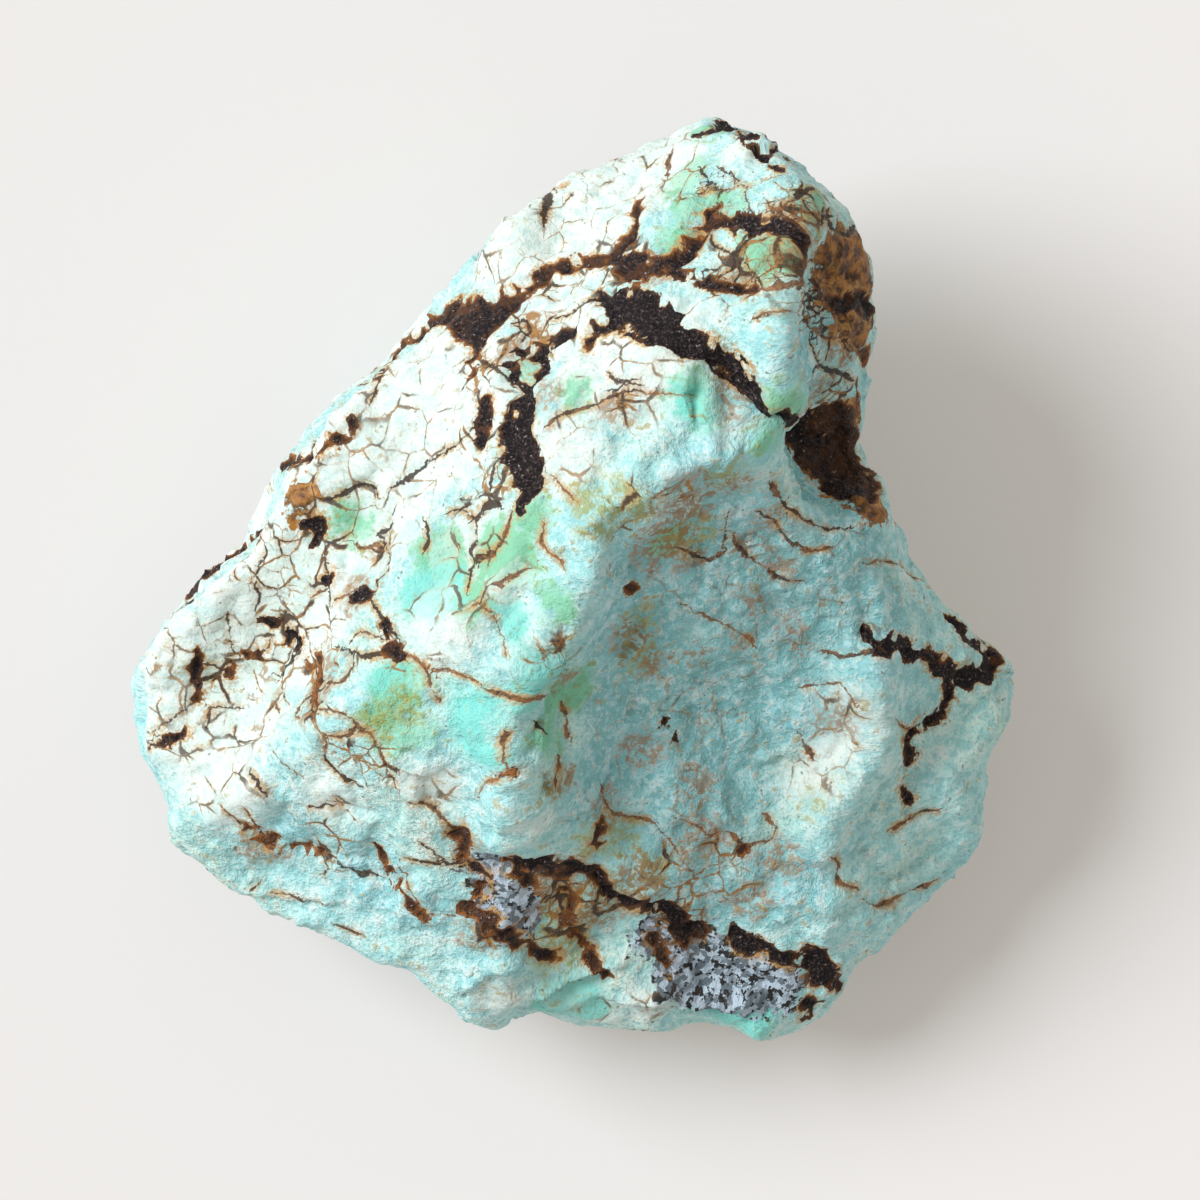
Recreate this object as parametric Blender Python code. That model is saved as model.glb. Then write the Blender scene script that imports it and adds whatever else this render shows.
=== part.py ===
"""Raw turquoise nugget: one natural stone, modelled as a single closed solid.

The stone is built the way it broke. Flat fracture faces bound a few convex blocks, from the long
spine to the foot, and the blocks are joined. A rim wall gives the outline, under-faces cut it back
to a flat sole, and scoops, lumps, scallops, ledges and pits finish the surface.
Lengths are in millimetres until the mesh is made, +Z is up and -Y is the front.
"""
import math
from collections import namedtuple

import bmesh
import bpy
import numpy as np
from mathutils import Vector, noise

NODE = "turquoise_nugget"
MM = 0.001                      # Blender works in metres

# Overall shape
STONE_MIDDLE = (0.0, -0.8, 6.5)   # a point deep inside, from which the whole surface can be seen
SEARCH_RADIUS = 26.0            # no part of the stone is further than this from its middle
SEARCH_STEP = 0.3               # first search along a ray, before the crossing is halved down to
HALVINGS = 20
EDGE_ROUND = 0.35               # wear along the ridges between fracture faces
WALL_LEAN = 0.12                # the rim wall leans in by this much for each mm above the rim
WALL_TUCK = 0.22                # and by this much for each mm below it, in steps
WALL_STEP = 2.8                 # height of a step
WALL_ROUND = 0.5                # wear along the rim
SCOOP_ROUND = 0.9               # wear along the lip of a scoop
LUMP_FILLET = 0.8               # fillet where a lump grows out of the stone

# Surface relief: size of the feature and its height
LUMP_SIZE = 5.0
LUMP_HEIGHT = 0.35
SCALLOP_SIZE = 3.4
SCALLOP_DEPTH = 0.8
LEDGE_SIZE = 4.0
LEDGE_STEPS = 3.0
LEDGE_HEIGHT = 0.16
PIT_SIZE = 0.9
PIT_HEIGHT = 0.10
SOLE_BAND = 0.6                 # the relief fades out over this height above the flat sole

SPHERE_SUBDIVISIONS = 7         # 81,920 triangles before they are thinned
SMOOTH_PASSES = 3
TARGET_TRIANGLES = 9400

# A fracture face: a point on it, the compass direction it faces (degrees from +X towards +Y) and
# its slope (0 faces straight up, 90 is upright, 180 faces straight down).
Face = namedtuple("Face", "x y z facing slope")
# A scoop or a lump: an ellipsoid by its middle and half sizes.
Ball = namedtuple("Ball", "x y z across along high")

# Faces that more than one block shares
PLATEAU = Face(5.0, 4.3, 18.3, 190, 13)
WEST_FLANK = Face(-0.9, 4.9, 17.0, 165, 47)
NORTHWEST_FLANK = Face(-4.5, 10.0, 10.2, 130, 50)
SOUTHWEST_FLANK = Face(-4.5, -14.8, 7.0, 236, 42)
SOUTHEAST_END = Face(-2.8, -14.5, 8.0, 303, 52)
SHOULDER_EAST = Face(10.1, -4.2, 10.9, 345, 46)
SHOULDER_NORTH = Face(10.3, -2.6, 11.1, 60, 30)

SPINE = [
    PLATEAU,
    WEST_FLANK,
    NORTHWEST_FLANK,
    SOUTHWEST_FLANK,
    Face(-1.25, -2.8, 16.3, 235, 24),
    Face(-1.25, -2.8, 16.3, 328, 47),
    SOUTHEAST_END,
]
SUMMIT = [
    PLATEAU,
    WEST_FLANK,
    NORTHWEST_FLANK,
    SOUTHWEST_FLANK,
    Face(0.9, 2.3, 17.4, 296, 38),
    Face(5.9, 5.2, 18.4, 325, 42),
    Face(9.6, 2.0, 12.5, 15, 60),
    Face(4.2, 7.8, 18.2, 59, 40),
    SOUTHEAST_END,
]
CROWN = [
    Face(4.3, 9.3, 17.6, 165, 14),
    Face(1.6, 14.8, 10.5, 128, 50),
    Face(4.3, 13.7, 15.2, 80, 50),
    Face(7.0, 9.7, 18.2, 355, 61),
    Face(6.0, 6.4, 17.2, 239, 60),
]
SHOULDER = [
    Face(10.1, -4.2, 10.9, 190, 32),
    SHOULDER_EAST,
    Face(8.8, -7.6, 10.2, 247, 40),
    Face(8.8, -7.6, 10.2, 319, 48),
    SHOULDER_NORTH,
]
BANK = [
    Face(4.5, -2.5, 11.0, 318, 27),
    Face(6.0, -6.5, 9.1, 262, 22),
    SHOULDER_EAST,
    SHOULDER_NORTH,
]
SPUR = [
    Face(13.3, -6.0, 7.3, 195, 25),
    Face(14.0, -6.0, 7.3, 345, 60),
    Face(14.0, -8.2, 6.7, 280, 40),
    Face(13.6, -4.4, 7.5, 80, 35),
]
FOOT = [
    Face(4.3, -12.5, 7.5, 280, 35),
    Face(2.3, -9.5, 9.5, 200, 45),
    Face(8.2, -11.0, 8.5, 10, 35),
]
# Each block with the fillet, in mm, where it grows out of the blocks before it
BLOCKS = [(SPINE, 0.3), (SUMMIT, 0.8), (CROWN, 0.5), (SHOULDER, 1.6), (BANK, 1.6), (SPUR, 0.8), (FOOT, 0.8)]

UNDER_FACES = [
    Face(-9.5, -1.6, 0.0, 185, 145),
    Face(-6.7, -7.5, 0.0, 225, 137),
    Face(-0.4, -11.3, 0.0, 268, 141),
    Face(5.7, -10.8, 0.0, 300, 156),
    Face(9.5, -5.2, 0.0, 335, 150),
    Face(9.0, -1.6, 0.0, 355, 143),
    Face(5.7, 3.2, 0.0, 35, 134),
    Face(2.3, 7.9, 0.0, 75, 132),
    Face(-4.6, 3.8, 0.0, 135, 130),
]

# The widest outline seen from above, clockwise from the crown: x, y and the height at which the
# stone is that wide there.
RIM = [
    (4.0, 15.8, 10.0), (4.9, 15.9, 10.0), (6.1, 15.4, 10.0), (6.7, 15.0, 10.0), (7.5, 14.4, 10.0),
    (8.0, 13.9, 10.0), (9.2, 13.2, 9.5), (10.0, 11.7, 9.0), (10.5, 10.5, 8.5), (10.6, 8.6, 8.5),
    (10.2, 7.6, 9.0), (9.8, 7.2, 9.0), (9.8, 6.2, 8.0), (10.1, 4.5, 7.5), (10.6, 3.4, 7.0),
    (11.0, 2.4, 7.0), (11.9, 0.6, 6.0), (13.1, -0.8, 6.0), (14.4, -2.2, 6.5), (15.1, -3.0, 6.5),
    (15.3, -3.9, 6.0), (15.0, -5.3, 5.5), (14.6, -6.2, 5.0), (14.6, -7.3, 5.0), (14.2, -8.2, 4.5),
    (14.2, -9.4, 4.5), (13.1, -10.8, 4.5), (11.3, -12.4, 4.5), (9.5, -13.5, 5.0), (9.5, -14.5, 4.5),
    (8.2, -15.6, 4.0), (6.8, -16.3, 3.5), (6.2, -15.7, 3.5), (4.4, -15.4, 4.0), (2.4, -15.6, 4.0),
    (1.8, -16.0, 4.5), (-0.1, -15.7, 4.5), (-1.3, -15.0, 5.0), (-2.6, -15.8, 6.0),
    (-3.4, -15.7, 6.5), (-4.5, -14.8, 7.0), (-5.9, -13.4, 7.5), (-9.5, -12.6, 7.5),
    (-11.0, -11.8, 7.0), (-11.3, -10.9, 7.0), (-12.5, -10.8, 6.5), (-14.1, -9.0, 6.0),
    (-13.7, -8.2, 6.0), (-14.9, -6.0, 5.0), (-15.4, -3.6, 4.5), (-15.1, -2.3, 4.5),
    (-13.8, -0.9, 4.5), (-12.7, 0.2, 5.0), (-11.3, 0.8, 5.5), (-10.2, 2.8, 6.0), (-8.1, 6.4, 6.5),
    (-5.9, 7.7, 7.0), (-4.8, 9.3, 7.5), (-3.5, 11.2, 8.0), (-2.1, 12.6, 8.5), (-0.6, 13.5, 9.0),
    (1.8, 14.6, 9.5),
]

SCOOPS = [
    Ball(9.4, 4.3, 13.6, 2.5, 2.4, 3.6),      # the brown hollow under the crown
    Ball(16.5, -6.5, 2.2, 4.0, 5.5, 2.6),     # scars low on the east, north-east and north walls
    Ball(12.5, 10.5, 4.5, 4.0, 4.5, 3.4),
    Ball(2.0, 18.5, 5.5, 6.0, 4.5, 3.8),
    Ball(-15.8, -6.0, 1.6, 4.0, 4.5, 2.4),    # and on the west and south-west walls
    Ball(-9.5, -14.6, 2.6, 5.0, 3.5, 3.2),
]
LUMPS = [
    Ball(-0.1, -0.5, 15.4, 1.4, 2.0, 1.5),    # a swelling half way along the main ridge
    Ball(13.4, -3.0, 6.6, 1.5, 1.6, 1.8),     # the knob on the right
    Ball(0.6, -14.7, 4.2, 1.9, 1.4, 1.5),     # the lip at the front
]


def smooth_max(first, second, radius):
    """The larger of two distances, rounded off over the radius where they meet."""
    blend = np.maximum(radius - np.abs(first - second), 0.0) / radius
    return np.maximum(first, second) + blend ** 2 * radius / 4


def smooth_min(first, second, radius):
    """The smaller of two distances, filleted over the radius where they meet."""
    return -smooth_max(-first, -second, radius)


def face_distance(points, face):
    """Signed distance in mm from a fracture face, positive outside the stone."""
    facing = math.radians(face.facing)
    slope = math.radians(face.slope)
    normal = np.array([math.cos(facing) * math.sin(slope), math.sin(facing) * math.sin(slope),
                       math.cos(slope)])
    return (points - np.array([face.x, face.y, face.z])) @ normal


def block_distance(points, faces):
    """Distance from the convex block that a list of fracture faces bounds."""
    distance = face_distance(points, faces[0])
    for face in faces[1:]:
        distance = smooth_max(distance, face_distance(points, face), EDGE_ROUND)
    return distance


def ball_distance(points, ball):
    """Approximate distance from an ellipsoid."""
    sizes = np.array([ball.across, ball.along, ball.high])
    scaled = (points - np.array([ball.x, ball.y, ball.z])) / sizes
    return (np.linalg.norm(scaled, axis=1) - 1.0) * sizes.min()


def rim_distance(points):
    """Distance from the rim wall, which follows the outline and leans in above and below it."""
    rim = np.array(RIM)
    middle_x, middle_y, _ = STONE_MIDDLE
    rim_angle = np.arctan2(rim[:, 1] - middle_y, rim[:, 0] - middle_x)
    rim_radius = np.hypot(rim[:, 0] - middle_x, rim[:, 1] - middle_y)
    angle = np.arctan2(points[:, 1] - middle_y, points[:, 0] - middle_x)
    radius = np.hypot(points[:, 0] - middle_x, points[:, 1] - middle_y)
    full_turn = 2 * math.pi
    outline = np.interp(angle, rim_angle, rim_radius, period=full_turn)
    height = np.interp(angle, rim_angle, rim[:, 2], period=full_turn)
    above = np.maximum(points[:, 2] - height, 0.0)
    below = np.maximum(height - points[:, 2], 0.0)
    step = below / WALL_STEP
    stepped = (step - np.sin(full_turn * step) / full_turn) * WALL_STEP
    return radius - outline + above * WALL_LEAN + stepped * WALL_TUCK


def stone_distance(points):
    """Signed distance in mm from the broken stone, before its surface relief."""
    distance = block_distance(points, BLOCKS[0][0])
    for faces, fillet in BLOCKS[1:]:
        distance = smooth_min(distance, block_distance(points, faces), fillet)
    for ball in LUMPS:
        distance = smooth_min(distance, ball_distance(points, ball), LUMP_FILLET)
    for ball in SCOOPS:
        distance = smooth_max(distance, -ball_distance(points, ball), SCOOP_ROUND)
    distance = smooth_max(distance, rim_distance(points), WALL_ROUND)
    for face in UNDER_FACES:
        distance = smooth_max(distance, face_distance(points, face), WALL_ROUND)
    return np.maximum(distance, -points[:, 2])


def surface_points(directions):
    """Where the ray in each direction, from the stone's middle, leaves the stone."""
    middle = np.array(STONE_MIDDLE)
    steps = np.linspace(SEARCH_STEP, SEARCH_RADIUS, round(SEARCH_RADIUS / SEARCH_STEP))
    inside = np.zeros(len(directions))
    outside = np.full(len(directions), SEARCH_RADIUS)
    found = np.zeros(len(directions), dtype=bool)
    for step in steps:
        out = stone_distance(middle + directions * step) > 0
        newly = out & ~found
        outside[newly] = step
        found |= out
        inside[~found] = step
    for _ in range(HALVINGS):
        halfway = (inside + outside) / 2
        out = stone_distance(middle + directions * halfway[:, None]) > 0
        outside = np.where(out, halfway, outside)
        inside = np.where(out, inside, halfway)
    return middle + directions * inside[:, None]


def scallop_height(point):
    """Shallow shell-shaped hollows with sharp ridges between them."""
    distance = noise.voronoi(point / SCALLOP_SIZE)[0][0]
    return (distance ** 2 - 0.2) * SCALLOP_DEPTH


def ledge_height(point):
    """Small terraces, where the stone broke in steps."""
    level = noise.noise(point / LEDGE_SIZE + Vector((11.0, 4.0, 2.0))) * LEDGE_STEPS
    floor = math.floor(level)
    rise = min(max((level - floor - 0.35) / 0.3, 0.0), 1.0)
    return (floor + rise) / LEDGE_STEPS * LEDGE_HEIGHT


def relief(point):
    """Height in mm of the lumps, scallops, ledges and pits at a point of the surface."""
    lumps = noise.noise(point / LUMP_SIZE) * LUMP_HEIGHT
    pits = noise.noise(point / PIT_SIZE) * PIT_HEIGHT
    return lumps + scallop_height(point) + ledge_height(point) + pits


def stone_mesh():
    """A fine sphere whose points are moved out to the stone's surface."""
    bm = bmesh.new()
    bmesh.ops.create_icosphere(bm, subdivisions=SPHERE_SUBDIVISIONS, radius=1.0)
    directions = np.array([vert.co.normalized() for vert in bm.verts])
    for vert, point in zip(bm.verts, surface_points(directions)):
        vert.co = point
    for _ in range(SMOOTH_PASSES):
        bmesh.ops.smooth_vert(bm, verts=bm.verts, factor=0.5, use_axis_x=True, use_axis_y=True,
                              use_axis_z=True)
    bm.normal_update()
    for vert, normal in [(vert, vert.normal.copy()) for vert in bm.verts]:
        fade = min(max(vert.co.z / SOLE_BAND, 0.0), 1.0)
        vert.co += normal * relief(vert.co.copy()) * fade
        vert.co.z = max(vert.co.z, 0.0)
    low = [min(vert.co[axis] for vert in bm.verts) for axis in range(3)]
    high = [max(vert.co[axis] for vert in bm.verts) for axis in range(3)]
    origin = Vector(((low[0] + high[0]) / 2, (low[1] + high[1]) / 2, 0.0))
    for vert in bm.verts:
        vert.co = (vert.co - origin) * MM
    mesh = bpy.data.meshes.new(NODE)
    bm.to_mesh(mesh)
    bm.free()
    return mesh


def turquoise_material():
    """Chalky, unpolished turquoise."""
    material = bpy.data.materials.new("turquoise")
    material.use_nodes = True
    shader = material.node_tree.nodes["Principled BSDF"]
    shader.inputs["Base Color"].default_value = (0.42, 0.72, 0.68, 1.0)
    shader.inputs["Roughness"].default_value = 0.75
    shader.inputs["Metallic"].default_value = 0.0
    return material


def main():
    for old in list(bpy.data.objects):
        bpy.data.objects.remove(old, do_unlink=True)
    collection = bpy.data.collections.new("raw_turquoise_nugget")
    bpy.context.scene.collection.children.link(collection)
    stone = bpy.data.objects.new(NODE, stone_mesh())
    stone.data.materials.append(turquoise_material())
    collection.objects.link(stone)
    thin = stone.modifiers.new("thin", "DECIMATE")
    thin.ratio = TARGET_TRIANGLES / len(stone.data.polygons)
    thin.use_collapse_triangulate = True


main()
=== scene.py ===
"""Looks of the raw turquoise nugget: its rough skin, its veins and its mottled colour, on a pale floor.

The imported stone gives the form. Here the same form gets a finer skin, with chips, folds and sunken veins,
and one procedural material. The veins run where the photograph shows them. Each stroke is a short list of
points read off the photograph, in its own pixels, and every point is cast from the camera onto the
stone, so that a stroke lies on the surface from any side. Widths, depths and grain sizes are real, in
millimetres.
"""
from collections import namedtuple
from functools import reduce
from math import radians

import bpy
import numpy as np
from mathutils import Matrix, Vector
from mathutils.bvhtree import BVHTree


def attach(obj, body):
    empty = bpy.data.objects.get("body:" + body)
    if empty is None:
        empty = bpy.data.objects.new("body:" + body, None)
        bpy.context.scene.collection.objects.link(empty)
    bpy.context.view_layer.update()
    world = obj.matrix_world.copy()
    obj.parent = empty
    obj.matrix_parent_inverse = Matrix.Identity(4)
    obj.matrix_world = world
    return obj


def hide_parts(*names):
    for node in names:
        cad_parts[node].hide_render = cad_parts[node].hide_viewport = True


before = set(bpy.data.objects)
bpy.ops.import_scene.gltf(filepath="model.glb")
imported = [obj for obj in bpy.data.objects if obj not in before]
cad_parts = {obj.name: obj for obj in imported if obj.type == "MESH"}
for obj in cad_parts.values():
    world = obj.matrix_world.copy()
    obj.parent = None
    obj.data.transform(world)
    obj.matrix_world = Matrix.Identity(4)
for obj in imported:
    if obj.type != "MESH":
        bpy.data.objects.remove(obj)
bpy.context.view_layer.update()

STONE = "turquoise_nugget"
MM = 0.001                      # one millimetre, in Blender's metres

# ---- the camera, straight above the stone as in the photograph ----
PHOTO_PIXELS = 1200             # the photograph is this many pixels wide and high
CAMERA_AIM = (0.91, -0.55)      # x and y under the middle of the picture, mm
CAMERA_HEIGHT = 275.0           # above the floor, mm
PICTURE_WIDTH = 42.0            # what the picture spans across, mm ...
PICTURE_LEVEL = 6.0             # ... at this height above the floor, mm
SENSOR_WIDTH = 36.0             # mm

# ---- the skin ----
SKIN_STEP = 0.18     # size of the skin's faces, mm
SKIN_ROUNDING = 2               # smoothing passes that take the solid's flat facets off
STROKE_STEP = 0.12              # how closely a stroke is laid on the stone, mm
REACH = 1.8                     # how far from a stroke its distance is still worked out, mm
THINNEST = 0.01                 # half width of a fold's line, and where no stroke is near, mm
SIGHT_SLACK = 0.35              # how far behind the first hit a spot still counts as seen, mm
SOLE_MARGIN = 0.5               # the sole's relief fades in over about this height, mm
FACING_DOWN = -0.7              # the sole's normals point down at least this much


# ================================================================= strokes ====
# A stroke is a vein: its tone, then its points as (x, y, width). x and y are photograph pixels, and widths
# are millimetres across. Tone runs from 0, orange rust, through 0.5, dark brown, to 1, black.

BROAD_VEINS = [
    # the band along the north-west crest, its wide patch and its thin end up the crown
    (0.55, [(380, 376, 0.2), (393, 354, 0.5), (410, 338, 0.75), (432, 324, 0.8), (455, 311, 0.85),
        (478, 318, 1.7), (500, 305, 1.2), (519, 293, 0.55), (541, 278, 0.4), (562, 268, 0.45),
        (586, 262, 0.4), (606, 258, 0.45), (622, 250, 0.5), (630, 232, 0.45), (634, 214, 0.25),
        (639, 196, 0.15)]),
    (0.6, [(478, 328, 1.1), (473, 352, 0.6), (474, 374, 0.2)]),
    # the knot where the bands meet, and its arm round the crown's pebbly hollow
    (0.55, [(618, 256, 0.6), (636, 268, 1.0), (655, 266, 0.6), (672, 263, 0.6), (690, 250, 0.5),
        (699, 234, 0.45), (710, 214, 0.5), (714, 204, 0.2)]),
    (0.8, [(706, 222, 0.3), (725, 222, 0.3), (744, 224, 0.75), (764, 227, 0.5), (784, 232, 0.4),
        (791, 242, 0.2), (790, 262, 0.15)]),
    (0.7, [(672, 270, 0.3), (700, 277, 0.35), (712, 284, 0.2), (732, 288, 0.2), (762, 290, 0.12)]),
    # the broadest vein, down to the brown hollow in the east face
    (1.0, [(600, 296, 0.5), (622, 305, 1.1), (645, 317, 1.5), (668, 332, 1.2), (693, 345, 0.8),
        (718, 357, 0.75), (738, 372, 0.75), (757, 390, 0.6), (775, 402, 0.45), (788, 412, 0.5)]),
    # the brown hollow
    (0.62, [(802, 422, 1.3), (813, 448, 1.5), (828, 470, 1.6), (845, 488, 1.3)]),
    (0.42, [(826, 414, 1.2), (848, 436, 1.6), (855, 466, 1.6), (862, 492, 1.1)]),
    (0.35, [(858, 388, 0.5), (858, 412, 0.7)]),
    # dark grains under the crown's amber end
    (0.6, [(828, 300, 0.3), (842, 307, 0.8), (858, 303, 0.7), (869, 308, 0.8)]),
    (0.4, [(862, 352, 0.3), (868, 356, 0.5)]),
    # the upright vein on the summit, with the dark ring round a green grain at its top
    (0.95, [(521, 384, 0.62), (524, 400, 1.06), (521, 425, 1.5), (519, 448, 1.56), (527, 470, 1.12),
        (526, 490, 0.88), (521, 505, 0.38)]),
    (0.9, [(514, 380, 0.31), (510, 366, 0.31), (514, 355, 0.31), (527, 350, 0.31), (540, 354, 0.44),
        (541, 366, 0.38), (533, 379, 0.44)]),
    (0.75, [(484, 402, 0.25), (487, 420, 0.5), (482, 442, 0.35)]),
    (0.9, [(547, 347, 0.3), (561, 338, 0.45), (571, 333, 0.3)]),
    (0.85, [(591, 346, 0.2), (592, 331, 0.35), (605, 325, 0.3), (626, 327, 0.15)]),
    # dark strips on the crown's outline
    (0.95, [(694, 134, 0.15), (706, 131, 0.15), (718, 129, 0.25), (728, 126, 0.5), (741, 130, 0.35)]),
    (0.95, [(763, 136, 0.2), (772, 145, 0.35), (781, 154, 0.2), (795, 161, 0.12)]),
    # the west outline
    (0.7, [(176, 606, 0.2), (188, 590, 0.6), (200, 577, 0.75), (213, 566, 0.6), (228, 560, 0.35),
        (245, 549, 0.25), (262, 532, 0.15)]),
    (0.6, [(279, 472, 0.4), (284, 463, 0.45), (300, 459, 0.3), (318, 449, 0.25), (330, 443, 0.35),
        (341, 436, 0.25), (352, 424, 0.25)]),
    (0.9, [(307, 526, 0.3), (316, 524, 0.45), (318, 534, 0.25), (313, 545, 0.15)]),
    (0.7, [(196, 698, 0.07), (193, 684, 0.17), (197, 664, 0.14), (196, 650, 0.06)]),
    (0.75, [(193, 687, 0.08), (205, 683, 0.08), (217, 679, 0.17)]),
    (0.7, [(226, 672, 0.12), (235, 658, 0.2), (245, 656, 0.15), (256, 656, 0.3)]),
    (0.8, [(162, 742, 0.12), (173, 740, 0.22), (181, 733, 0.2), (188, 728, 0.15)]),
    (0.95, [(267, 622, 0.35), (274, 626, 0.35)]),
    (0.95, [(285, 640, 0.3), (292, 635, 0.45), (297, 641, 0.25)]),
    # knots on the west flank
    (0.85, [(355, 594, 0.3), (364, 594, 0.5), (372, 590, 0.35)]),
    (0.85, [(386, 624, 0.2), (384, 633, 0.25)]),
    (0.8, [(386, 648, 0.25), (394, 652, 0.4), (402, 656, 0.2)]),
    (0.45, [(310, 662, 0.35), (320, 661, 0.4), (322, 672, 0.25), (325, 682, 0.35)]),
    (0.2, [(320, 692, 0.35), (322, 704, 0.45), (331, 712, 0.25)]),
    (0.85, [(326, 560, 0.18), (328, 576, 0.2), (326, 591, 0.28)]),
    # knob in the east
    (0.9, [(863, 630, 0.12), (872, 641, 0.35), (883, 646, 0.7), (896, 644, 0.5), (906, 650, 0.5),
        (920, 655, 0.42), (935, 660, 0.5), (948, 670, 0.6), (963, 677, 0.6), (980, 677, 0.7),
        (993, 667, 0.6), (994, 655, 0.5), (984, 648, 0.45), (974, 642, 0.25), (965, 632, 0.3),
        (956, 622, 0.35), (947, 617, 0.15)]),
    (0.8, [(955, 682, 0.7), (951, 697, 0.45), (946, 711, 0.35), (933, 719, 0.22), (920, 726, 0.25),
        (911, 734, 0.18), (903, 747, 0.35), (913, 750, 0.25)]),
    (0.75, [(906, 762, 0.15), (906, 778, 0.15), (906, 790, 0.22), (909, 801, 0.12)]),
    # the dark matrix along the foot
    (0.35, [(458, 832, 0.45), (466, 826, 0.45), (465, 845, 0.3), (462, 858, 0.3)]),
    (0.85, [(474, 868, 0.2), (481, 877, 0.45), (482, 890, 0.2)]),
    (0.75, [(518, 850, 0.15), (520, 860, 0.4), (524, 870, 0.65), (538, 862, 0.4), (550, 866, 0.4),
        (560, 873, 0.55), (572, 866, 0.5), (585, 871, 0.3), (597, 877, 0.25), (608, 892, 0.3),
        (622, 898, 0.3), (635, 900, 0.5), (650, 905, 0.4), (665, 908, 0.4), (678, 918, 0.5),
        (685, 928, 0.9), (697, 938, 0.7)]),
    (0.55, [(463, 905, 0.15), (473, 910, 0.4), (488, 918, 0.5), (498, 930, 0.65), (511, 938, 0.4),
        (530, 948, 0.2), (546, 955, 0.35), (556, 954, 0.35)]),
    (0.5, [(590, 954, 0.3), (598, 965, 0.3), (610, 980, 0.15)]),
    (0.6, [(655, 938, 0.3), (659, 955, 0.25), (672, 969, 0.2)]),
    (0.85, [(734, 928, 0.2), (742, 943, 0.5), (756, 948, 0.6), (775, 955, 0.4), (796, 960, 0.5),
        (813, 952, 0.6), (819, 967, 0.9), (827, 979, 0.7), (840, 985, 0.3)]),
    (0.9, [(806, 1003, 0.3), (813, 1008, 0.5), (804, 1020, 0.2)]),
    # the brown wedge in the south-west face
    (0.3, [(243, 821, 0.15), (254, 831, 0.4), (266, 841, 0.55), (280, 838, 0.3), (293, 845, 0.2),
        (306, 848, 0.3), (322, 852, 0.15)]),
    (0.35, [(372, 848, 0.18), (380, 858, 0.25), (388, 871, 0.22), (396, 883, 0.3), (406, 893, 0.25),
        (416, 905, 0.25), (428, 916, 0.12)]),
    # stains on the dark side
    (0.9, [(665, 715, 0.12), (668, 728, 0.18), (680, 742, 0.09)]),
    (0.55, [(612, 594, 0.04), (625, 588, 0.1), (638, 590, 0.04)]),
    (0.1, [(504, 770, 0.1), (511, 765, 0.18)]),
    (0.25, [(740, 845, 0.2), (742, 852, 0.45)]),
    (0.6, [(598, 820, 0.2), (597, 834, 0.4), (601, 845, 0.25)]),
    # along the summit's outline
    (0.85, [(722, 122, 0.2), (740, 133, 0.3), (757, 146, 0.3), (771, 158, 0.22), (785, 168, 0.1)]),
    # brown matrix round the quartz at the foot
    (0.45, [(503, 861, 0.2), (518, 871, 0.55), (532, 886, 0.3)]),
    (0.6, [(548, 868, 0.3), (566, 874, 0.65), (586, 871, 0.3)]),
    (0.25, [(556, 884, 0.15), (571, 902, 0.4), (568, 925, 0.3), (584, 945, 0.12)]),
    (0.65, [(477, 866, 0.15), (482, 880, 0.4), (477, 894, 0.15)]),
]

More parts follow.
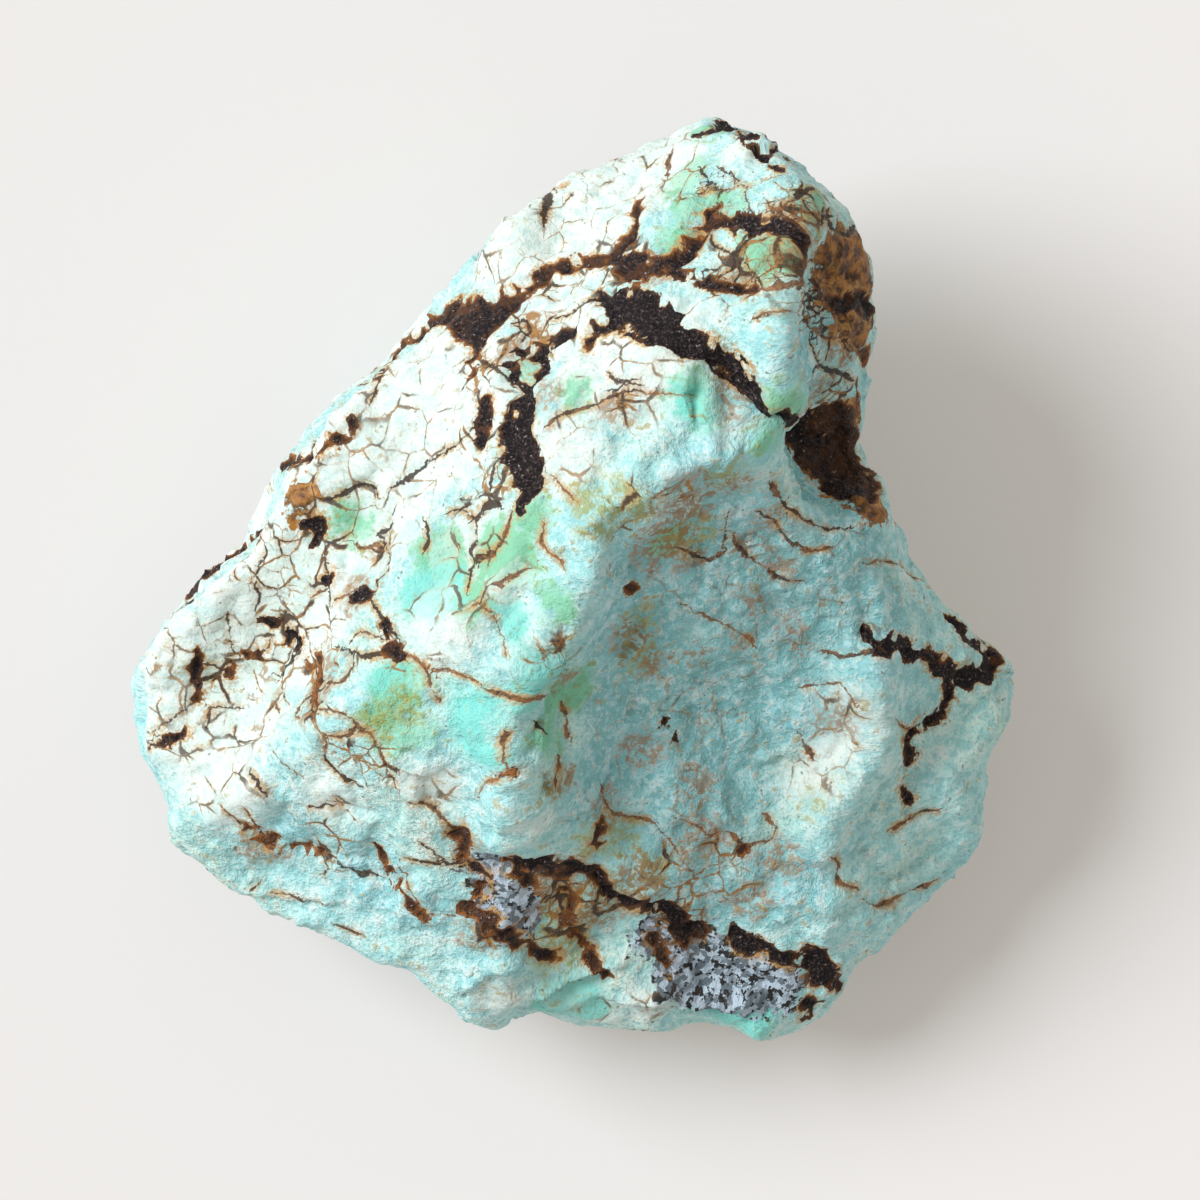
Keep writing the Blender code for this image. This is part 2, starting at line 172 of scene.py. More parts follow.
THIN_VEINS = [
    # west flank
    (0.5, [(327, 545, 0.06), (325, 560, 0.1), (329, 602, 0.1)]),
    (0.4, [(311, 597, 0.05), (323, 590, 0.1)]),
    (0.35, [(331, 601, 0.1), (345, 595, 0.1), (356, 589, 0.12)]),
    (0.7, [(374, 588, 0.14), (377, 578, 0.1), (386, 570, 0.06), (388, 556, 0.05), (381, 540, 0.05)]),
    (0.75, [(372, 600, 0.1), (379, 613, 0.15), (385, 622, 0.2)]),
    (0.6, [(388, 620, 0.08), (394, 633, 0.12), (399, 646, 0.05)]),
    (0.3, [(402, 656, 0.16), (413, 658, 0.14), (424, 671, 0.15), (431, 689, 0.1), (438, 699, 0.15)]),
    (0.25, [(424, 664, 0.1), (436, 672, 0.12), (452, 674, 0.15), (470, 680, 0.12), (484, 684, 0.12),
        (500, 688, 0.18), (515, 691, 0.24), (530, 692, 0.22), (538, 692, 0.08)]),
    (0.6, [(386, 652, 0.15), (374, 655, 0.22), (361, 656, 0.15), (350, 650, 0.1), (336, 648, 0.1)]),
    (0.5, [(336, 648, 0.06), (346, 643, 0.06), (353, 635, 0.06), (359, 631, 0.06), (381, 638, 0.06)]),
    (0.35, [(351, 655, 0.1), (350, 668, 0.15), (347, 682, 0.1), (335, 683, 0.08)]),
    (0.3, [(331, 712, 0.16), (330, 725, 0.1), (331, 740, 0.15), (328, 754, 0.15)]),
    (0.8, [(328, 754, 0.15), (330, 765, 0.2), (337, 773, 0.12), (344, 778, 0.22), (351, 785, 0.1),
        (363, 792, 0.05)]),
    (0.3, [(335, 710, 0.1), (346, 712, 0.08), (355, 718, 0.12), (362, 727, 0.26), (371, 733, 0.16),
        (377, 743, 0.06)]),
    (0.35, [(332, 732, 0.08), (345, 735, 0.12), (356, 730, 0.15)]),
    (0.3, [(383, 755, 0.05), (385, 766, 0.12), (390, 778, 0.12), (397, 790, 0.12), (403, 801, 0.14),
        (420, 802, 0.15), (435, 808, 0.14), (447, 821, 0.16), (456, 830, 0.25)]),
    (0.3, [(303, 704, 0.12), (302, 718, 0.2), (309, 722, 0.06)]),
    (0.45, [(320, 694, 0.1), (310, 700, 0.1), (303, 704, 0.08)]),
    (0.85, [(300, 652, 0.1), (292, 662, 0.12), (282, 673, 0.14), (275, 675, 0.05)]),
    (0.35, [(282, 676, 0.05), (278, 692, 0.06), (272, 703, 0.1), (280, 716, 0.05)]),
    (0.6, [(148, 749, 0.1), (161, 742, 0.12)]),
    (0.4, [(150, 733, 0.05), (170, 720, 0.07), (186, 708, 0.08), (197, 702, 0.05)]),
    (0.55, [(200, 664, 0.08), (214, 666, 0.1), (226, 672, 0.1)]),
    (0.5, [(256, 656, 0.12), (266, 650, 0.08), (270, 640, 0.05)]),
    (0.6, [(228, 618, 0.12), (229, 630, 0.05), (231, 645, 0.05), (236, 656, 0.08)]),
    (0.75, [(253, 583, 0.08), (259, 596, 0.12), (257, 606, 0.12)]),
    (0.6, [(262, 556, 0.12), (258, 570, 0.05), (254, 583, 0.05)]),
    (0.5, [(207, 722, 0.2), (210, 708, 0.08), (224, 706, 0.05), (238, 707, 0.1)]),
    # north-west corner
    (0.9, [(330, 499, 0.1), (345, 494, 0.2), (355, 488, 0.16), (370, 488, 0.14), (377, 494, 0.1)]),
    (0.8, [(392, 488, 0.06), (403, 480, 0.14), (410, 478, 0.26), (420, 468, 0.15), (435, 457, 0.08),
        (450, 449, 0.12), (462, 443, 0.06), (471, 430, 0.05), (479, 424, 0.05)]),
    (0.7, [(375, 533, 0.1), (384, 528, 0.18), (391, 516, 0.12), (397, 505, 0.05)]),
    (0.3, [(364, 546, 0.12), (372, 543, 0.18), (380, 549, 0.1)]),
    (0.8, [(424, 523, 0.2), (428, 536, 0.14), (426, 548, 0.16)]),
    (0.3, [(362, 384, 0.14), (374, 380, 0.2), (381, 376, 0.2)]),
    (0.5, [(380, 378, 0.2), (376, 390, 0.14), (369, 402, 0.06)]),
    (0.6, [(461, 388, 0.06), (466, 380, 0.08), (474, 373, 0.1)]),
    (0.5, [(540, 190, 0.1), (549, 193, 0.3), (546, 206, 0.3), (543, 224, 0.12)]),
    (0.2, [(549, 191, 0.2), (566, 186, 0.08)]),
    (0.8, [(553, 318, 0.08), (562, 315, 0.08), (574, 312, 0.1), (586, 303, 0.14), (600, 300, 0.2)]),
    (0.6, [(515, 322, 0.16), (524, 320, 0.12), (530, 330, 0.14), (524, 340, 0.08)]),
    (0.5, [(480, 360, 0.1), (492, 366, 0.14), (504, 374, 0.12), (510, 383, 0.12)]),
    # summit
    (0.4, [(548, 425, 0.15), (558, 416, 0.2), (570, 412, 0.2), (583, 408, 0.2), (594, 405, 0.14),
        (606, 399, 0.15), (616, 395, 0.15), (636, 390, 0.1), (646, 395, 0.06)]),
    (0.6, [(607, 373, 0.1), (613, 381, 0.2), (630, 380, 0.08), (638, 378, 0.05)]),
    (0.15, [(646, 393, 0.06), (672, 394, 0.07), (691, 396, 0.06)]),
    (0.5, [(500, 466, 0.1), (496, 478, 0.26), (491, 492, 0.14)]),
    (0.35, [(541, 465, 0.1), (554, 479, 0.07), (571, 494, 0.06), (580, 502, 0.04)]),
    (0.7, [(500, 506, 0.14), (487, 505, 0.36), (474, 518, 0.12), (462, 510, 0.06), (448, 512, 0.1)]),
    (0.6, [(475, 520, 0.06), (475, 538, 0.06), (473, 552, 0.2), (471, 566, 0.15), (468, 580, 0.12),
        (466, 589, 0.06)]),
    (0.45, [(478, 557, 0.26), (489, 551, 0.2), (500, 545, 0.15), (505, 535, 0.28), (508, 521, 0.15),
        (511, 511, 0.06)]),
    (0.4, [(526, 570, 0.1), (515, 575, 0.15), (506, 579, 0.15), (500, 585, 0.24), (490, 584, 0.08),
        (483, 592, 0.07), (480, 604, 0.1), (472, 604, 0.16), (460, 611, 0.08), (449, 617, 0.06)]),
    (0.2, [(481, 605, 0.06), (494, 616, 0.07), (502, 634, 0.05), (507, 652, 0.06)]),
    (0.2, [(545, 522, 0.05), (542, 540, 0.18), (550, 549, 0.1), (560, 556, 0.12), (566, 563, 0.06)]),
    (0.1, [(552, 631, 0.14), (560, 627, 0.28), (570, 622, 0.07)]),
    (0.1, [(481, 795, 0.05), (484, 785, 0.1), (493, 776, 0.1), (504, 770, 0.1)]),
    (0.3, [(505, 728, 0.26), (502, 742, 0.1), (506, 758, 0.07), (511, 765, 0.14)]),
    # dark side
    (0.3, [(557, 757, 0.1), (557, 768, 0.22), (553, 780, 0.24)]),
    (0.95, [(531, 721, 0.12), (536, 725, 0.18), (540, 730, 0.1)]),
    (0.25, [(562, 706, 0.14), (566, 716, 0.22), (565, 728, 0.17), (568, 736, 0.25)]),
    (0.15, [(685, 605, 0.14), (700, 613, 0.14), (720, 622, 0.11), (740, 632, 0.11), (750, 641, 0.36)]),
    (0.35, [(676, 549, 0.08), (690, 552, 0.21), (701, 560, 0.21), (712, 558, 0.17), (720, 555, 0.34)]),
    (0.3, [(722, 547, 0.07), (726, 532, 0.14), (728, 514, 0.1)]),
    (0.3, [(733, 536, 0.11), (741, 550, 0.25), (752, 560, 0.08), (768, 570, 0.08), (776, 576, 0.17),
        (800, 580, 0.08)]),
    (0.4, [(773, 487, 0.25), (785, 503, 0.21), (800, 517, 0.14), (816, 524, 0.08), (830, 528, 0.14),
        (851, 527, 0.07)]),
    (0.35, [(762, 514, 0.17), (775, 522, 0.17), (783, 535, 0.11), (798, 545, 0.28), (811, 552, 0.14),
        (828, 548, 0.14)]),
    (0.3, [(870, 563, 0.06), (886, 560, 0.06), (901, 566, 0.12), (911, 576, 0.15), (926, 581, 0.18)]),
    (0.4, [(824, 652, 0.14), (845, 655, 0.17), (868, 651, 0.21), (880, 649, 0.28)]),
    (0.3, [(805, 688, 0.21), (820, 684, 0.14), (844, 684, 0.11), (856, 697, 0.14)]),
    (0.3, [(800, 733, 0.11), (807, 748, 0.31), (813, 758, 0.14)]),
    (0.3, [(887, 716, 0.12), (892, 719, 0.16), (901, 726, 0.1), (912, 731, 0.12)]),
    (0.35, [(893, 826, 0.34), (905, 820, 0.14), (924, 816, 0.1), (936, 812, 0.2)]),
    (0.3, [(831, 851, 0.14), (838, 865, 0.17), (837, 880, 0.17), (846, 886, 0.14), (857, 888, 0.08)]),
    (0.3, [(866, 902, 0.06), (877, 906, 0.1), (890, 902, 0.28), (901, 895, 0.15), (913, 889, 0.15),
        (926, 886, 0.2), (936, 880, 0.08)]),
    (0.2, [(712, 840, 0.11), (729, 835, 0.11), (739, 843, 0.22)]),
    (0.2, [(748, 848, 0.17), (756, 845, 0.17), (771, 840, 0.08), (776, 828, 0.1), (768, 818, 0.22)]),
    (0.25, [(602, 788, 0.17), (606, 805, 0.17), (613, 812, 0.21), (626, 817, 0.17), (641, 819, 0.17),
        (652, 822, 0.08), (665, 836, 0.07), (676, 850, 0.1)]),
    (0.2, [(675, 818, 0.07), (695, 828, 0.1), (712, 839, 0.1)]),
    # south-west face
    (0.4, [(230, 800, 0.05), (243, 821, 0.12)]),
    (0.5, [(250, 803, 0.05), (255, 819, 0.1), (258, 828, 0.14)]),
    (0.45, [(322, 852, 0.14), (336, 860, 0.15), (350, 870, 0.15), (365, 875, 0.26), (376, 877, 0.08)]),
    (0.35, [(400, 869, 0.1), (410, 885, 0.1), (420, 900, 0.08)]),
    (0.2, [(430, 912, 0.1), (443, 912, 0.07), (457, 912, 0.06)]),
    (0.75, [(400, 858, 0.07), (428, 864, 0.12), (446, 866, 0.14), (462, 864, 0.18)]),
    (0.5, [(420, 843, 0.06), (434, 854, 0.08), (448, 865, 0.1)]),
    (0.85, [(256, 775, 0.1), (263, 785, 0.15), (269, 793, 0.05)]),
    (0.3, [(283, 755, 0.04), (293, 765, 0.06), (304, 776, 0.07)]),
    (0.35, [(335, 798, 0.12), (342, 808, 0.08), (354, 819, 0.05)]),
    (0.4, [(310, 806, 0.1), (322, 805, 0.08), (336, 806, 0.06)]),
    (0.3, [(253, 888, 0.14), (262, 880, 0.05)]),
    (0.35, [(272, 891, 0.05), (290, 893, 0.08), (308, 899, 0.12), (322, 900, 0.06)]),
    (0.4, [(338, 925, 0.14), (350, 930, 0.16), (362, 936, 0.06)]),
    (0.5, [(482, 890, 0.12), (479, 900, 0.14), (470, 906, 0.1)]),
    (0.5, [(462, 860, 0.16), (470, 867, 0.16)]),
    # crown
    (0.3, [(795, 298, 0.12), (801, 310, 0.15), (810, 325, 0.12), (818, 333, 0.2), (831, 338, 0.15),
        (846, 334, 0.26)]),
    (0.75, [(811, 340, 0.14), (815, 355, 0.12), (822, 367, 0.12), (831, 370, 0.34), (840, 373, 0.26),
        (850, 379, 0.1)]),
    (0.3, [(790, 262, 0.1), (786, 277, 0.14), (783, 290, 0.1), (790, 303, 0.07), (800, 316, 0.06)]),
    (0.75, [(824, 213, 0.1), (830, 224, 0.16), (838, 231, 0.2), (848, 234, 0.2), (856, 226, 0.3)]),
    (0.85, [(797, 198, 0.26), (803, 192, 0.2), (816, 190, 0.12), (829, 195, 0.07), (841, 200, 0.1),
        (849, 215, 0.06)]),
    (0.4, [(822, 200, 0.06), (827, 212, 0.12), (820, 224, 0.12), (806, 226, 0.1), (795, 222, 0.14)]),
    (0.5, [(793, 388, 0.14), (798, 395, 0.14), (805, 402, 0.14)]),
    (0.25, [(757, 318, 0.12), (768, 313, 0.06), (784, 312, 0.07), (795, 318, 0.06)]),
    (0.35, [(702, 192, 0.14), (716, 189, 0.08), (735, 184, 0.06), (760, 182, 0.06)]),
    (0.8, [(764, 179, 0.14), (774, 176, 0.1)]),
    (0.35, [(667, 172, 0.24), (668, 160, 0.2), (674, 146, 0.06)]),
    (0.8, [(616, 160, 0.12), (624, 150, 0.08)]),
    # the joints between the crown's pebbles
    (0.6, [(800, 300, 0.14), (808, 306, 0.15), (815, 314, 0.12), (820, 324, 0.16), (825, 330, 0.2)]),
    (0.6, [(818, 312, 0.12), (824, 308, 0.1), (833, 309, 0.12), (841, 316, 0.16), (842, 326, 0.14)]),
    (0.5, [(791, 303, 0.1), (800, 300, 0.12), (806, 294, 0.14), (814, 298, 0.16), (824, 296, 0.2)]),
    (0.5, [(783, 290, 0.12), (792, 285, 0.12), (798, 291, 0.1), (806, 294, 0.12)]),
    (0.5, [(804, 260, 0.1), (811, 268, 0.12), (808, 276, 0.1), (816, 284, 0.14), (820, 294, 0.2)]),
    (0.5, [(836, 334, 0.16), (843, 342, 0.12), (849, 351, 0.1)]),
    (0.4, [(848, 334, 0.16), (855, 342, 0.14), (858, 351, 0.2), (866, 358, 0.3)]),
    (0.6, [(709, 234, 0.14), (714, 244, 0.1), (722, 249, 0.11), (731, 253, 0.1), (739, 251, 0.08),
        (746, 243, 0.11), (752, 236, 0.14)]),
    (0.6, [(731, 253, 0.1), (735, 262, 0.14), (730, 269, 0.14), (722, 273, 0.08), (716, 278, 0.14),
        (711, 284, 0.14)]),
    (0.4, [(735, 262, 0.07), (743, 262, 0.07), (749, 268, 0.08), (753, 275, 0.07), (756, 284, 0.08),
        (758, 290, 0.1)]),
    (0.3, [(753, 275, 0.06), (762, 271, 0.07), (770, 274, 0.06), (775, 281, 0.07), (777, 289, 0.14)]),
    (0.25, [(757, 291, 0.12), (766, 293, 0.12), (776, 290, 0.2), (784, 283, 0.3), (791, 275, 0.25),
        (795, 266, 0.14)]),
    (0.3, [(762, 271, 0.04), (768, 262, 0.06), (775, 261, 0.06), (783, 269, 0.1)]),
    (0.4, [(722, 273, 0.06), (727, 281, 0.06), (733, 286, 0.08), (745, 284, 0.06), (753, 284, 0.04)]),
    (0.6, [(713, 268, 0.07), (706, 268, 0.06), (702, 275, 0.11)]),
    (0.4, [(743, 262, 0.04), (745, 255, 0.06), (748, 248, 0.06)]),
    (0.4, [(703, 188, 0.1), (712, 186, 0.12), (719, 190, 0.1), (716, 198, 0.14), (712, 207, 0.2)]),
    (0.5, [(712, 207, 0.16), (721, 216, 0.2), (731, 222, 0.2), (742, 219, 0.2)]),
    (0.4, [(744, 186, 0.06), (747, 198, 0.08), (750, 209, 0.1), (756, 217, 0.16), (766, 221, 0.2)]),
    (0.3, [(768, 203, 0.1), (775, 212, 0.12), (784, 208, 0.1), (790, 215, 0.14), (796, 222, 0.14)]),
    (0.3, [(774, 221, 0.14), (780, 214, 0.08), (790, 205, 0.08), (797, 199, 0.12)]),
    (0.75, [(702, 172, 0.12), (707, 178, 0.16), (714, 182, 0.1)]),
    (0.5, [(720, 168, 0.06), (730, 173, 0.08), (737, 179, 0.1)]),
    (0.5, [(802, 207, 0.12), (806, 217, 0.12), (814, 221, 0.1), (823, 218, 0.14), (828, 211, 0.14)]),
    (0.4, [(824, 196, 0.08), (832, 206, 0.12), (838, 215, 0.1), (841, 229, 0.14)]),
    (0.2, [(783, 340, 0.05), (787, 356, 0.06), (788, 370, 0.05), (793, 384, 0.08)]),
]


# ================================================================ colours ====
# Linear red, green and blue.

BLUE = (0.40, 0.76, 0.77)
MINT = (0.54, 0.80, 0.72)
# painted light, in part: the nearly white of the faces turned to the light
PALE_AND_PAINTED_LIGHT = (0.74, 0.83, 0.78)
PEBBLE_TINT = (0.64, 0.80, 0.72)
MOTTLE_DARK = (0.27, 0.58, 0.60)
MOTTLE_LIGHT = (0.80, 0.87, 0.83)
GREEN = (0.22, 0.58, 0.37)
TEAL = (0.19, 0.68, 0.61)
OLIVE = (0.33, 0.34, 0.07)
RUST_STAIN = (0.31, 0.175, 0.085)
FRECKLE = (0.38, 0.32, 0.09)
HALO = (0.54, 0.31, 0.10)
AMBER = (0.42, 0.18, 0.035)
AMBER_DARK = (0.045, 0.017, 0.008)
QUARTZ_LIGHT = (0.47, 0.58, 0.68)
QUARTZ_DARK = (0.13, 0.17, 0.20)
# painted shade, in part: the greyer blue of the faces turned away from the light
SLATE_AND_SHADE = (0.26, 0.63, 0.70)
SLATE_DARK = (0.13, 0.40, 0.42)
DUST_LIGHT = (0.56, 0.83, 0.86)
SPECK = (0.16, 0.14, 0.07)
BLACK = (0.02, 0.02, 0.02)
RUSTY = (0.30, 0.13, 0.045)
DARK_LINE = (0.035, 0.02, 0.014)
NET_RUST = (0.34, 0.16, 0.035)
NET_DARK = (0.045, 0.024, 0.015)
VEIN_RUST = (0.30, 0.115, 0.03)
VEIN_BROWN = (0.085, 0.036, 0.016)
VEIN_BLACK = (0.012, 0.009, 0.010)
VEIN_GRAIN = (0.085, 0.06, 0.055)
VEIN_SPARK = (0.6, 0.58, 0.56)


# ============================================================ colour zones ====
# A zone is where a colour or a kind of grain lies. Its spots are (x, y, radius), in photograph pixels and
# millimetres.

ZONES = {
    # nearly white stone: chalky on the west flank and the summit, where it is also painted light; the spots
    # on the east shoulder's lit wedge and on the ledges at the foot are painted light only
    "pale_and_painted_light": [(148, 660, 1.6), (150, 720, 1.4), (175, 600, 1.4), (215, 560, 1.3), (262, 500, 1.3),
        (300, 430, 1.4), (345, 370, 1.4), (400, 300, 1.4), (470, 240, 1.4), (210, 700, 3.2),
        (290, 600, 3.2), (350, 480, 3.4), (440, 400, 3.2), (440, 620, 1.6), (560, 230, 3.2),
        (640, 170, 2.6), (480, 560, 1.8), (560, 320, 1.6), (230, 780, 1.6), (600, 370, 1.8),
        (650, 380, 1.3), (570, 445, 1.2), (330, 795, 1.0), (430, 785, 1.0), (690, 310, 0.7),
        (745, 150, 0.6), (832, 745, 0.9), (840, 710, 0.9), (812, 775, 0.8), (600, 1015, 0.8),
        (650, 1000, 0.8), (580, 1000, 0.7), (500, 1000, 0.6)],
    # pebbly stone, netted with thin lines
    "netted": [(250, 680, 2.0), (280, 580, 2.2), (330, 680, 1.8), (360, 760, 1.2), (360, 540, 1.2),
        (480, 430, 1.4), (500, 350, 1.3), (545, 310, 1.4), (560, 200, 1.2), (620, 270, 1.3),
        (700, 185, 0.8), (740, 260, 1.7), (800, 210, 1.4), (810, 290, 1.6), (830, 350, 1.4),
        (620, 405, 0.5), (480, 500, 1.2), (540, 640, 0.9), (660, 500, 1.3), (560, 910, 1.6),
        (700, 870, 1.8), (320, 840, 1.6), (300, 500, 1.0)],
    # brown matrix fills the joints between the pebbles
    "heavy": [(740, 262, 0.7), (800, 225, 0.6), (822, 300, 0.5), (632, 266, 0.9), (790, 285, 0.6),
        (320, 675, 0.6), (500, 482, 0.6), (835, 390, 0.6), (545, 880, 0.9), (500, 930, 0.7),
        (680, 920, 0.9), (600, 905, 0.7), (560, 930, 0.6), (645, 895, 0.5), (810, 975, 0.5),
        (560, 340, 0.5), (510, 345, 0.6), (355, 600, 0.4)],
    # the finest crumbs, between dark matrix
    "crumbly": [(632, 268, 0.8), (722, 272, 0.5), (780, 213, 0.5), (500, 480, 0.7), (530, 335, 0.9),
        (320, 675, 0.8), (375, 765, 0.8), (625, 402, 0.4), (480, 375, 0.6), (575, 895, 1.4),
        (680, 920, 1.0), (685, 495, 0.5), (395, 655, 0.6), (795, 300, 0.6)],
    # green stone
    "green": [(437, 555, 0.9), (500, 555, 1.0), (470, 600, 0.5), (560, 600, 0.4), (395, 690, 1.0),
        (378, 715, 0.6), (415, 735, 0.5), (683, 240, 0.6), (690, 180, 0.7), (690, 205, 0.6),
        (728, 205, 0.7), (762, 250, 0.7), (525, 366, 0.35), (530, 520, 0.4), (812, 212, 0.6),
        (710, 128, 0.6), (770, 400, 0.7), (575, 395, 0.4), (665, 540, 0.5), (560, 690, 0.8),
        (545, 735, 0.5), (440, 290, 0.7), (760, 258, 0.6), (695, 395, 0.5), (760, 430, 0.5),
        (355, 520, 0.5)],
    # strong turquoise blue
    "teal": [(430, 590, 0.9), (545, 660, 0.5), (510, 620, 0.4), (480, 710, 1.0), (385, 680, 0.6),
        (690, 400, 0.4), (520, 700, 0.5), (480, 740, 0.7), (570, 1000, 1.2), (740, 1010, 0.9)],
    # yellow-green stain
    "olive": [(690, 535, 0.8), (720, 470, 0.5), (630, 500, 0.6), (600, 890, 0.8), (404, 702, 0.45),
        (380, 722, 0.4), (600, 515, 0.6), (560, 945, 0.9), (620, 835, 0.6), (665, 535, 0.35),
        (590, 500, 0.5), (553, 780, 0.35), (815, 800, 0.2), (640, 655, 0.5), (560, 920, 1.2),
        (600, 840, 0.7), (650, 870, 0.6), (520, 930, 0.5), (640, 620, 0.5)],
    # rust stain
    "rust": [(755, 600, 0.4), (690, 562, 0.35), (740, 640, 0.3), (780, 566, 0.5), (650, 662, 0.35),
        (563, 672, 0.35), (558, 778, 0.4), (605, 806, 0.5), (700, 655, 0.2), (770, 520, 0.4),
        (800, 640, 0.4), (730, 480, 0.4), (330, 675, 0.8), (355, 590, 0.5), (303, 497, 0.55),
        (380, 550, 0.4), (320, 700, 0.5), (620, 405, 0.5), (530, 345, 0.8), (465, 835, 0.5),
        (480, 935, 0.6), (735, 275, 0.6), (710, 225, 0.5), (800, 225, 0.7), (540, 900, 0.7),
        (690, 500, 0.9), (640, 745, 0.5), (545, 395, 0.4), (820, 385, 0.6), (730, 395, 0.5),
        (630, 640, 0.5), (700, 790, 0.5), (840, 715, 0.5), (660, 265, 0.5), (260, 850, 0.6),
        (780, 860, 0.6), (850, 350, 0.6), (600, 900, 1.2), (560, 880, 0.9), (640, 880, 0.8),
        (750, 900, 0.6), (700, 840, 0.8), (660, 540, 1.0), (790, 240, 0.8), (835, 340, 0.7)],
    # greyer, darker blue on the faces turned away from the light: partly dusty stone, partly painted shade
    "slate": [(640, 600, 2.2), (720, 560, 2.6), (780, 620, 2.2), (650, 700, 2.4), (720, 690, 2.6),
        (700, 790, 2.4), (600, 780, 1.6), (780, 700, 1.6), (850, 560, 1.8), (860, 620, 1.6),
        (800, 470, 1.2), (690, 465, 0.7), (820, 300, 1.2), (797, 345, 0.9), (800, 382, 0.9),
        (700, 900, 1.6), (780, 880, 1.4), (290, 830, 1.0), (370, 870, 1.2), (430, 910, 1.0)],
    # amber limonite on the crown's east end
    "amber": [(300, 498, 0.45), (838, 262, 1.0), (852, 285, 1.4), (860, 258, 0.9), (862, 320, 1.1),
        (845, 318, 0.6), (858, 405, 0.6), (864, 500, 0.7)],
    # grey-white quartz with black grains
    "quartz": [(690, 965, 1.2), (730, 975, 1.3), (770, 985, 1.0), (660, 935, 0.7), (505, 905, 0.9),
        (490, 870, 0.7), (520, 930, 0.6)],
}

# Lumps and hollows of the skin: (x, y, radius, height), photograph pixels and millimetres.
LUMPS = [
    (624, 868, 1.0, 0.3), (683, 240, 0.7, 0.16), (690, 205, 0.6, 0.14), (690, 178, 0.7, 0.14),
    (728, 206, 0.6, 0.14), (765, 205, 0.6, 0.12), (812, 212, 0.6, 0.16), (762, 252, 0.9, 0.12),
    (670, 285, 0.7, 0.1), (964, 657, 0.4, 0.12), (830, 322, 0.4, 0.12), (694, 398, 0.45, -0.3),
    (766, 402, 0.5, -0.22), (722, 268, 0.6, -0.15), (845, 455, 1.5, -0.35), (622, 448, 0.5, -0.22),
    (672, 430, 0.5, -0.2), (640, 470, 0.5, 0.18), (560, 990, 1.0, 0.15), (523, 366, 0.4, 0.08),
]

# Folds of the skin: (kind, height, reach, points), in millimetres and photograph pixels. A crest has a
# sharp top and falls to both sides, a step falls on one side only, and a crest below 0 is a groove.
FOLDS = [
    # the main ridge, from the summit's edge down to the foot
    ("crest", 0.75, 1.7, [(782, 398), (766, 412), (742, 443), (700, 456), (656, 470), (638, 492),
        (612, 508), (592, 522), (588, 542), (583, 572), (573, 612), (558, 642), (538, 664), (522, 690),
        (508, 722), (511, 760), (512, 795), (500, 828)]),
    # the crown's east edge
    ("crest", 0.7, 1.4, [(792, 238), (784, 288), (775, 320), (777, 350), (770, 375), (764, 396)]),
    # the edge between the bright west flank and the south-west face
    ("crest", 0.45, 1.5, [(375, 690), (345, 710), (315, 727), (280, 760), (240, 798), (206, 818)]),
    # the shoulder's edges
    ("crest", 0.6, 1.6, [(872, 668), (876, 700), (878, 738), (864, 766), (848, 786), (830, 806),
        (822, 828)]),
    ("crest", 0.25, 0.9, [(830, 848), (820, 858), (810, 876)]),
    ("crest", 0.3, 0.9, [(830, 893), (826, 915), (822, 942)]),
    ("crest", 0.25, 0.9, [(992, 726), (974, 746), (952, 768), (938, 790)]),
    # small folds on the summit
    ("crest", -0.4, 0.7, [(606, 482), (618, 458), (630, 442), (650, 424)]),
    ("crest", 0.18, 0.5, [(612, 488), (636, 462), (660, 444), (676, 436)]),
    ("crest", -0.4, 0.7, [(648, 470), (664, 452), (684, 440), (694, 424)]),
    ("crest", 0.35, 0.7, [(704, 402), (702, 426), (706, 448)]),
    ("step", 0.45, 1.0, [(690, 406), (688, 394), (690, 383)]),
    ("step", 0.22, 0.8, [(768, 430), (760, 414), (768, 398)]),
    # ledges at the foot
    ("step", 0.4, 1.1, [(475, 985), (492, 972), (512, 963)]),
    ("crest", 0.25, 0.8, [(510, 962), (514, 982), (508, 1002)]),
    ("step", 0.5, 1.1, [(538, 992), (560, 980), (582, 975), (602, 970)]),
    ("crest", 0.3, 0.9, [(745, 1002), (754, 1018), (763, 1034)]),
    ("step", 0.42, 0.9, [(640, 1003), (690, 1006), (745, 1001)]),
    ("step", 0.22, 0.9, [(236, 888), (262, 894), (300, 899), (332, 903)]),
    ("step", 0.22, 0.8, [(378, 742), (400, 746), (428, 752)]),
    # the crown's smooth face
    ("crest", 0.18, 0.7, [(697, 140), (703, 158), (702, 178)]),
    # flutes in the east face
    ("crest", -0.2, 0.5, [(866, 556), (862, 590), (868, 624)]),
    ("crest", -0.2, 0.5, [(890, 555), (892, 585), (896, 612)]),
    ("crest", 0.2, 0.5, [(878, 556), (877, 590), (880, 620)]),
    ("crest", 0.2, 0.6, [(598, 548), (592, 556), (588, 570)]),
]


# ======================================================= places and fields ====

PIXEL = PICTURE_WIDTH / PHOTO_PIXELS     # mm, at the height of the picture's span
EYE = Vector((CAMERA_AIM[0], CAMERA_AIM[1], CAMERA_HEIGHT))


def photo_ray(x, y):
    """The direction of the camera's ray through a photograph pixel."""
    right = (x - PHOTO_PIXELS / 2) * PIXEL
    down = (y - PHOTO_PIXELS / 2) * PIXEL
    return (Vector((CAMERA_AIM[0] + right, CAMERA_AIM[1] - down, PICTURE_LEVEL)) - EYE).normalized()


def on_stone(tree, x, y):
    """The point of the stone that shows at a photograph pixel, or beside the stone the nearest point."""
    direction = photo_ray(x, y)
    hit = tree.ray_cast(EYE, direction)[0]
    if hit is None:
        hit = tree.find_nearest(EYE + direction * (CAMERA_HEIGHT - PICTURE_LEVEL) / -direction.z)[0]
    return np.array(hit)


def between(before, start, end, after, t):
    """A smooth curve through the points: the place at t, from 0 to 1, of the stretch from start to end."""
    return 0.5 * (2 * start + (end - before) * t + (2 * before - 5 * start + 4 * end - after) * t ** 2
                  + (3 * start - before - 3 * end + after) * t ** 3)


